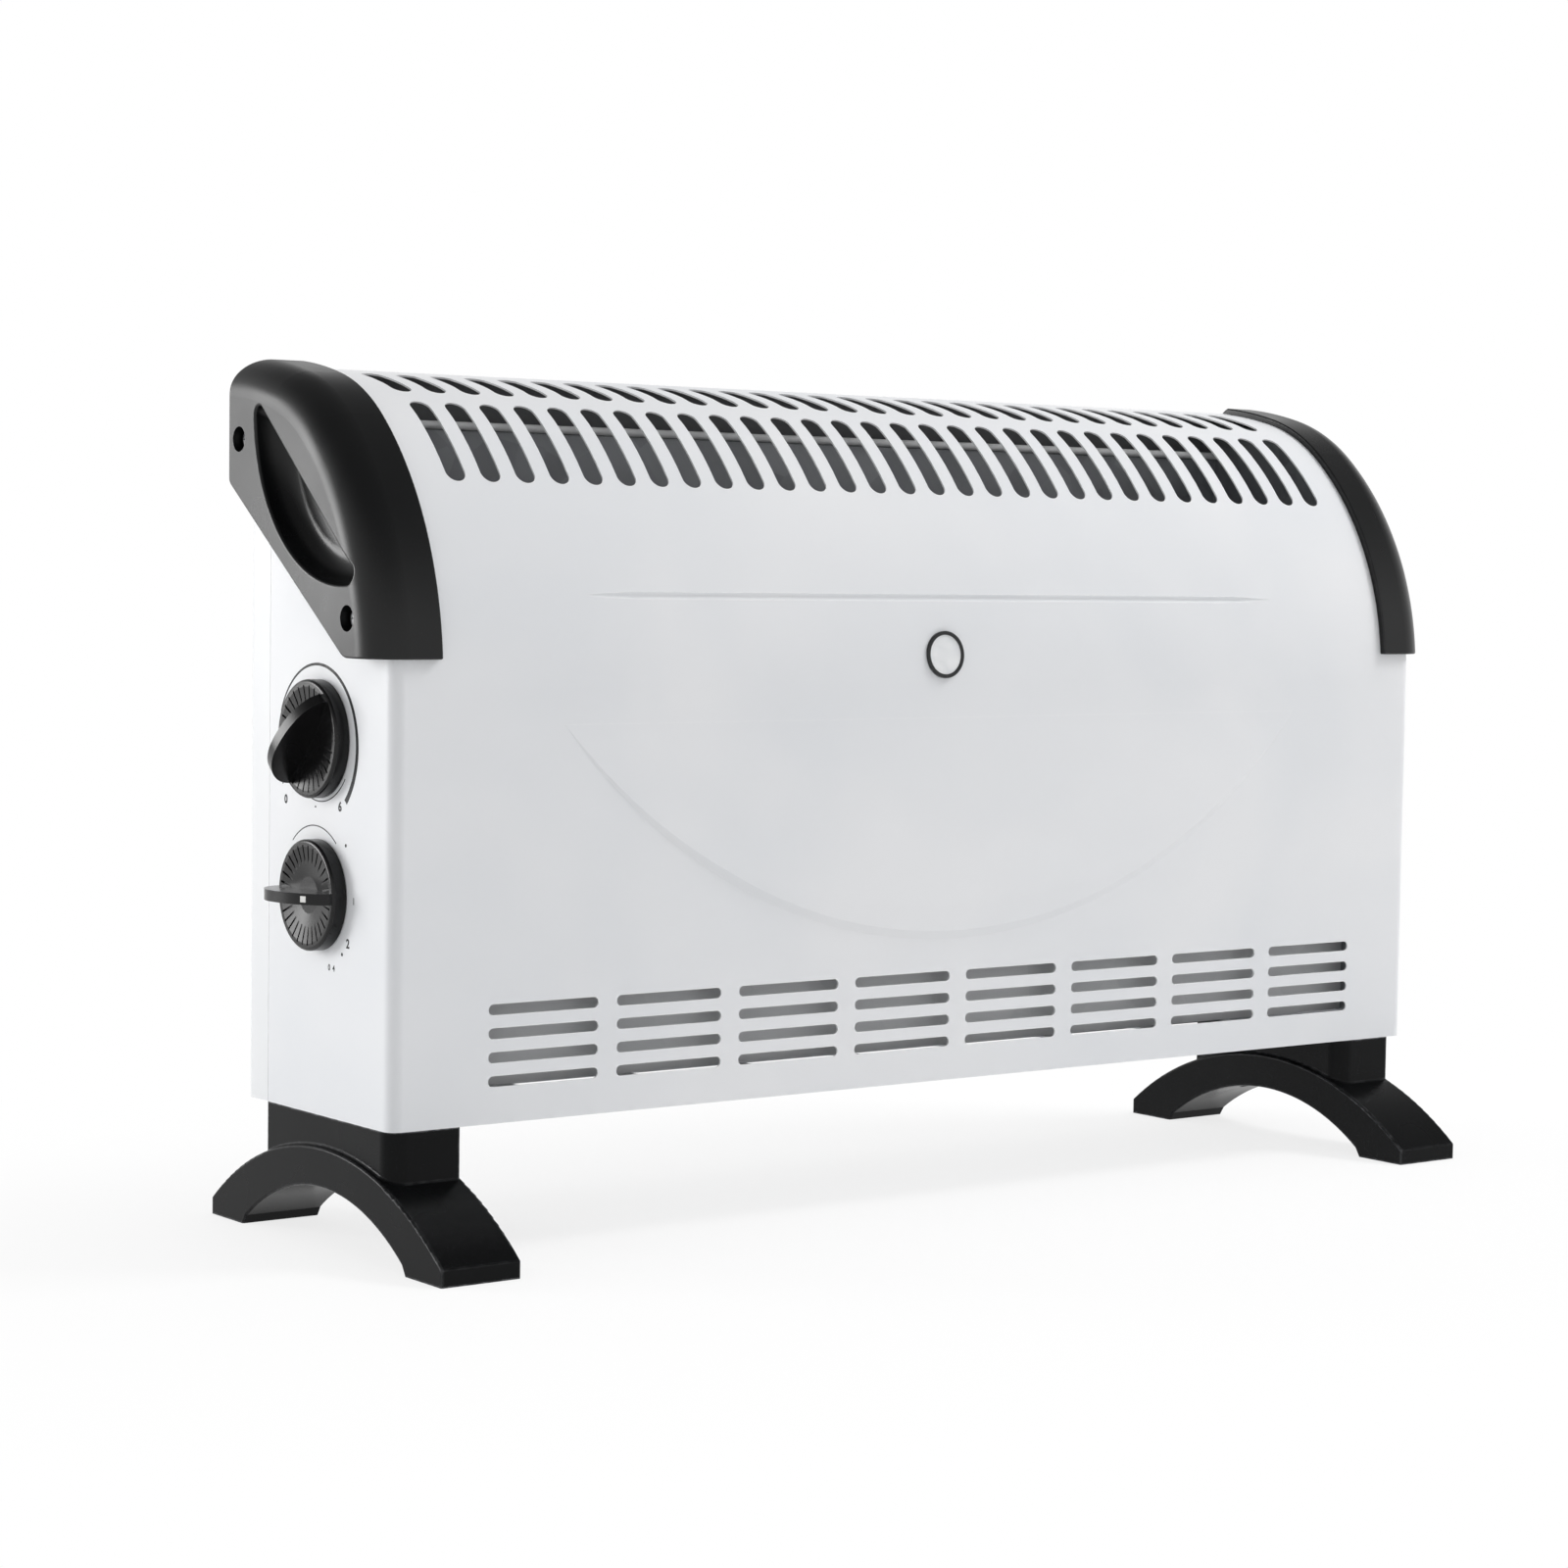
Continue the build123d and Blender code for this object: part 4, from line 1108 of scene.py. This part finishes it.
@dataclass
class Controls:
    """Thermostat and heat switch: knobs, spindles, bodies and printed scales."""

    knob: Moulding = Moulding(
        "knob black", tone=linear(9, 9, 10), scuff_and_highlight=linear(44, 45, 47), gloss=(0.2, 0.28),
        specular=0.32, skin_scale=2600.0, relief=(0.000004, 0.5), edge_radius=0.0003, dust=0.0)
    case: Moulding = Moulding(
        "control case", tone=linear(46, 40, 36), gloss=(0.35, 0.5), skin_scale=1200.0)
    mark: Glaze = Glaze(
        "mark white", tone=linear(240, 240, 238), stain=linear(228, 228, 224), gloss=(0.35, 0.5))
    ink: PrintInk = PrintInk("dial ink")
    thermostat_axis: Span = (8.3, 208.2)

    def prints(self) -> list[DialPrint]:
        """Printed scales of both dials.

        Returns:
            The scale of the thermostat and of the switch.
        """
        thermostat = DialPrint(
            "thermostat",
            bands=[
                ((10.8, 205.9), 32.5, 158.0, -43.6, (0.75, 2.5)),
                (self.thermostat_axis, 25.6, -119.0, -37.0, (0.45, 0.45)),
                ((59.1, 189.1), 20.0, -3.2, 3.2, (0.65, 0.65)),
                ((11.8, 181.1), 0.9, -60.0, -120.0, (0.7, 0.7)),
            ],
            words=[("0", (36.5, 181.9), 3.6, 0.16), ("6", (-8.2, 181.5), 3.8, 0.2)],
        )
        switch = DialPrint(
            "switch",
            bands=[
                ((12.1, 145.5), 27.0, 133.0, 50.0, (0.45, 0.45)),
                ((-13.1, 166.0), 0.35, 0.0, 359.0, (0.7, 0.7)),
                ((-10.6, 121.7), 0.35, 0.0, 359.0, (0.7, 0.7)),
            ],
            words=[
                ("1", (-19.7, 144.0), 3.0, 0.0),
                ("2", (-15.2, 126.5), 3.8, 0.14),
                ("0", (-0.3, 115.5), 2.6, 0.04),
                ("4", (-3.9, 115.4), 2.6, 0.04),
            ],
        )
        return [thermostat, switch]

    def build(self, steel: Material) -> None:
        """Dress both controls and print their scales.

        Args:
            steel: Material of the spindles.
        """
        dress(["thermostat_knob", "switch_knob"], self.knob.build())
        dress(["thermostat_body", "switch_body", "thermal_cutout"], self.case.build())
        dress(["thermostat_spindle", "switch_spindle"], steel)
        dress(["switch_index_mark"], self.mark.build())
        ink = self.ink.build()
        for dial in self.prints():
            dial.build(ink)


@dataclass
class Feet:
    """Black arched feet, with pale edges that are painted highlights along their lit fillets."""

    # The pale edge colour and its wide radius paint the highlights that the arches' fillets catch.
    plastic: Moulding = Moulding(
        "foot black", tone=linear(11, 12, 13), scuff_and_highlight=linear(150, 151, 154), gloss=(0.22, 0.3),
        specular=0.1, edge_radius=0.0014)

    def build(self) -> None:
        """Dress both feet."""
        dress(["left_foot", "right_foot"], self.plastic.build())


@dataclass
class Chamber:
    """Heating chamber: walls, reflector, boards and ribbons."""

    primed: Galvanised = Galvanised(
        "primed liner", light=linear(233, 234, 236), dark=linear(226, 228, 230),
        gloss=(0.45, 0.6), metallic=0.0, crystal_scale=40.0)
    # The reflector's rolled top edge, above hem_height, gets a painted highlight.
    dull: Galvanised = Galvanised(
        "dull reflector", light=linear(152, 154, 158), dark=linear(140, 142, 146),
        gloss=(0.36, 0.5), metallic=0.6, crystal_scale=60.0, hem_height=0.3372)

    def build(self, zinc: Material) -> None:
        """Dress the chamber.

        Args:
            zinc: Material of the walls.
        """
        dress(["left_partition", "right_partition"], zinc)
        dress(["left_element_bracket", "right_element_bracket"], zinc)
        dress(["front_liner"], self.primed.build())
        dress(["reflector"], self.dull.build())
        dress(["low_heat_board", "high_heat_board"], Mica("mica board").build())
        dress(["low_heat_ribbon", "high_heat_ribbon"], HotRibbon("heating ribbon").build())


@dataclass
class Supply:
    """Cord gland, terminal block, inner wires and all screws."""

    gland: Moulding = Moulding(
        "gland black", tone=linear(22, 22, 24), gloss=(0.4, 0.5), specular=0.35)
    sleeve: Glaze = Glaze(
        "wire sleeve", tone=linear(212, 206, 190), stain=linear(180, 170, 148), gloss=(0.5, 0.7))

    def build(self) -> None:
        """Dress the supply parts and the screws."""
        dress(["terminal_block"], Glaze("block ceramic").build())
        dress(["cord_gland", "gland_nut"], self.gland.build())
        dress(["inner_wires"], self.sleeve.build())
        screws = ["end_cap_screws", "control_screws", "foot_screws", "cover_screws"]
        dress(screws, TurnedMetal("zinc plate").build())


# ---------------------------------------------------------------- studio

@dataclass
class Lamp:
    """Soft rectangular lamp aimed at the heater."""

    name: str
    place: Point
    size: Span
    power: float
    mirrored: bool = False
    aim: Point = (0.0, 0.0, 0.2)

    def build(self) -> None:
        """Hang the lamp, which glossy surfaces show only where it is mirrored."""
        data = bpy.data.lights.new(self.name, "AREA")
        data.shape = "RECTANGLE"
        data.size, data.size_y = self.size
        data.energy = self.power
        lamp = new_object(self.name, data)
        lamp.location = self.place
        ahead = Vector(self.aim) - Vector(self.place)
        lamp.rotation_euler = ahead.to_track_quat("-Z", "Y").to_euler()
        lamp.visible_camera = False
        lamp.visible_glossy = self.mirrored


@dataclass
class Studio:
    """Pale floor, white surround, soft lamps and the camera.

    Angles are in degrees, the lens and its sensor in millimetres, and the rest in metres.
    """

    floor_size: float = 9.0
    floor_points: int = 13
    floor_tone: Colour = (0.97, 0.97, 0.97, 1.0)
    floor_shade: Colour = (0.96, 0.96, 0.965, 1.0)
    floor_cloud: float = 3.0
    clear_range: Span = (0.12, 0.45)
    clear_stretch: float = 1.6
    near_glow: float = 0.78
    ambient: float = 0.53
    ceiling: float = 0.22
    wall_top: Span = (0.2, 0.75)
    eye: Point = (-0.9978, -1.2606, 0.2829)
    yaw: float = 36.8546
    pitch: float = 3.5847
    roll: float = 0.8392
    lens: float = 81.61
    sensor: float = 36.0
    nearest: float = 0.05
    lamps: tuple[Lamp, ...] = (
        Lamp("rear left lamp", (-1.7, 1.62, 0.58), (0.85, 1.0), 23.0, mirrored=True),
        Lamp("front lamp", (1.4, -0.65, 1.9), (0.8, 0.8), 26.0),
        Lamp("top lamp", (0.15, 0.3, 2.1), (1.9, 1.2), 4.0),
    )

    @staticmethod
    def seen(tree: Tree) -> Socket:
        """Mask of the rays that show the background.

        Formula: the greatest of the marks of camera, glossy and transmission rays, 0 or 1.

        Args:
            tree: The tree that it goes in.

        Returns:
            The mask.
        """
        path = add_node(tree, "LightPath")
        mask = path.outputs["Is Camera Ray"]
        for name in ("Is Glossy Ray", "Is Transmission Ray"):
            mask = sum_of(tree, "MAXIMUM", mask, path.outputs[name])
        return mask

    def surround(self) -> None:
        """White surround that lights softly and shows as plain white.

        Formula: the camera and clear bodies see it at strength 1; reflections see it at 1 up
        to the height where the walls end, and at the ceiling's level above; every other ray
        gets the ambient level.
        """
        world = bpy.data.worlds.new("surround")
        bpy.context.scene.world = world
        world.use_nodes = True
        tree = world.node_tree
        link = tree.links.new
        ground = fill(tree.nodes["Background"], {"Color": WHITE})
        height = axes_of(tree, add_node(tree, "TexCoord").outputs["Generated"]).outputs["Z"]
        wall = ramp(tree, height, self.wall_top, (1.0, self.ceiling), smooth=True)
        mirrored = add_node(tree, "Mix", A=1.0)
        level = add_node(tree, "Mix", A=self.ambient)
        link(add_node(tree, "LightPath").outputs["Is Glossy Ray"], mirrored.inputs["Factor"])
        link(wall, mirrored.inputs["B"])
        link(self.seen(tree), level.inputs["Factor"])
        link(mirrored.outputs["Result"], level.inputs["B"])
        link(level.outputs["Result"], ground.inputs["Strength"])

    def floor(self) -> None:
        """Pale floor that keeps the shadow near the heater and fades to white further out.

        Formula: the floor is a grid from minus to plus half its size; its finish goes from
        the lit floor to plain white, from a share near the heater to the whole of it, as the
        distance from the middle, with X divided by the stretch, passes the clear range.
        """
        count = self.floor_points
        line = np.linspace(-self.floor_size / 2, self.floor_size / 2, count)
        x, y = np.meshgrid(line, line, indexing="ij")
        points = np.stack([x, y, np.zeros_like(x)], -1).reshape(-1, 3)
        mesh = bpy.data.meshes.new("floor")
        mesh.from_pydata(points.tolist(), [], grid_quads(count, count, ring=False).tolist())
        recipe = Recipe("pale floor", Roughness=0.8, Specular_IOR_Level=0.1)
        tone = recipe.over(self.floor_tone, recipe.cloud(self.floor_cloud), self.floor_shade)
        recipe.link(tone, recipe.shader.inputs["Base Color"])
        length = recipe.node("VectorMath")
        length.operation = "LENGTH"
        recipe.link(recipe.mapped(Scale=(1 / self.clear_stretch, 1.0, 1.0)), length.inputs[0])
        fade = ramp(recipe.tree, length.outputs["Value"], self.clear_range,
                    (self.near_glow, 1.0), smooth=True)
        share = sum_of(recipe.tree, "MULTIPLY", self.seen(recipe.tree), fade)
        mix = recipe.node("MixShader")
        recipe.link(share, mix.inputs["Fac"])
        recipe.link(recipe.shader.outputs["BSDF"], mix.inputs[1])
        recipe.link(recipe.node("Emission").outputs["Emission"], mix.inputs[2])
        recipe.link(mix.outputs["Shader"], recipe.tree.nodes["Material Output"].inputs["Surface"])
        mesh.materials.append(recipe.material)
        new_object("floor", mesh)

    def camera(self) -> None:
        """Camera at the photograph's viewing angle.

        Formula: forward is (sin yaw cos pitch, cos yaw cos pitch, minus sin pitch); right is
        (cos yaw, minus sin yaw, 0); up is their cross product; roll turns right towards up.
        """
        yaw, pitch, roll = (math.radians(a) for a in (self.yaw, self.pitch, self.roll))
        level = math.cos(pitch)
        ahead = np.array([math.sin(yaw) * level, math.cos(yaw) * level, -math.sin(pitch)])
        right = np.array([math.cos(yaw), -math.sin(yaw), 0.0])
        up = np.cross(right, ahead)
        turned = math.cos(roll) * right + math.sin(roll) * up
        upper = -math.sin(roll) * right + math.cos(roll) * up
        data = bpy.data.cameras.new("camera")
        data.lens = self.lens
        data.sensor_width = self.sensor
        data.clip_start = self.nearest
        camera = new_object("camera", data)
        turn = Matrix(np.stack([turned, upper, -ahead], 1).tolist()).to_4x4()
        camera.matrix_world = Matrix.Translation(self.eye) @ turn
        bpy.context.scene.camera = camera

    def build(self) -> None:
        """Set up the studio."""
        bpy.context.scene.view_settings.view_transform = "Standard"
        self.camera()
        self.surround()
        self.floor()
        for lamp in self.lamps:
            lamp.build()


def main() -> None:
    """Build the studio and the heater's parts in order."""
    logging.basicConfig(level=logging.INFO, format="%(message)s")
    Studio().build()
    zinc = Galvanised("galvanised sheet").build()
    steel = TurnedMetal("spindle steel").build()
    Casing().build(zinc)
    EndCaps().build()
    Badge().build()
    Controls().build(steel)
    Feet().build()
    Chamber().build(zinc)
    Supply().build()


if __name__ == "__main__":
    main()
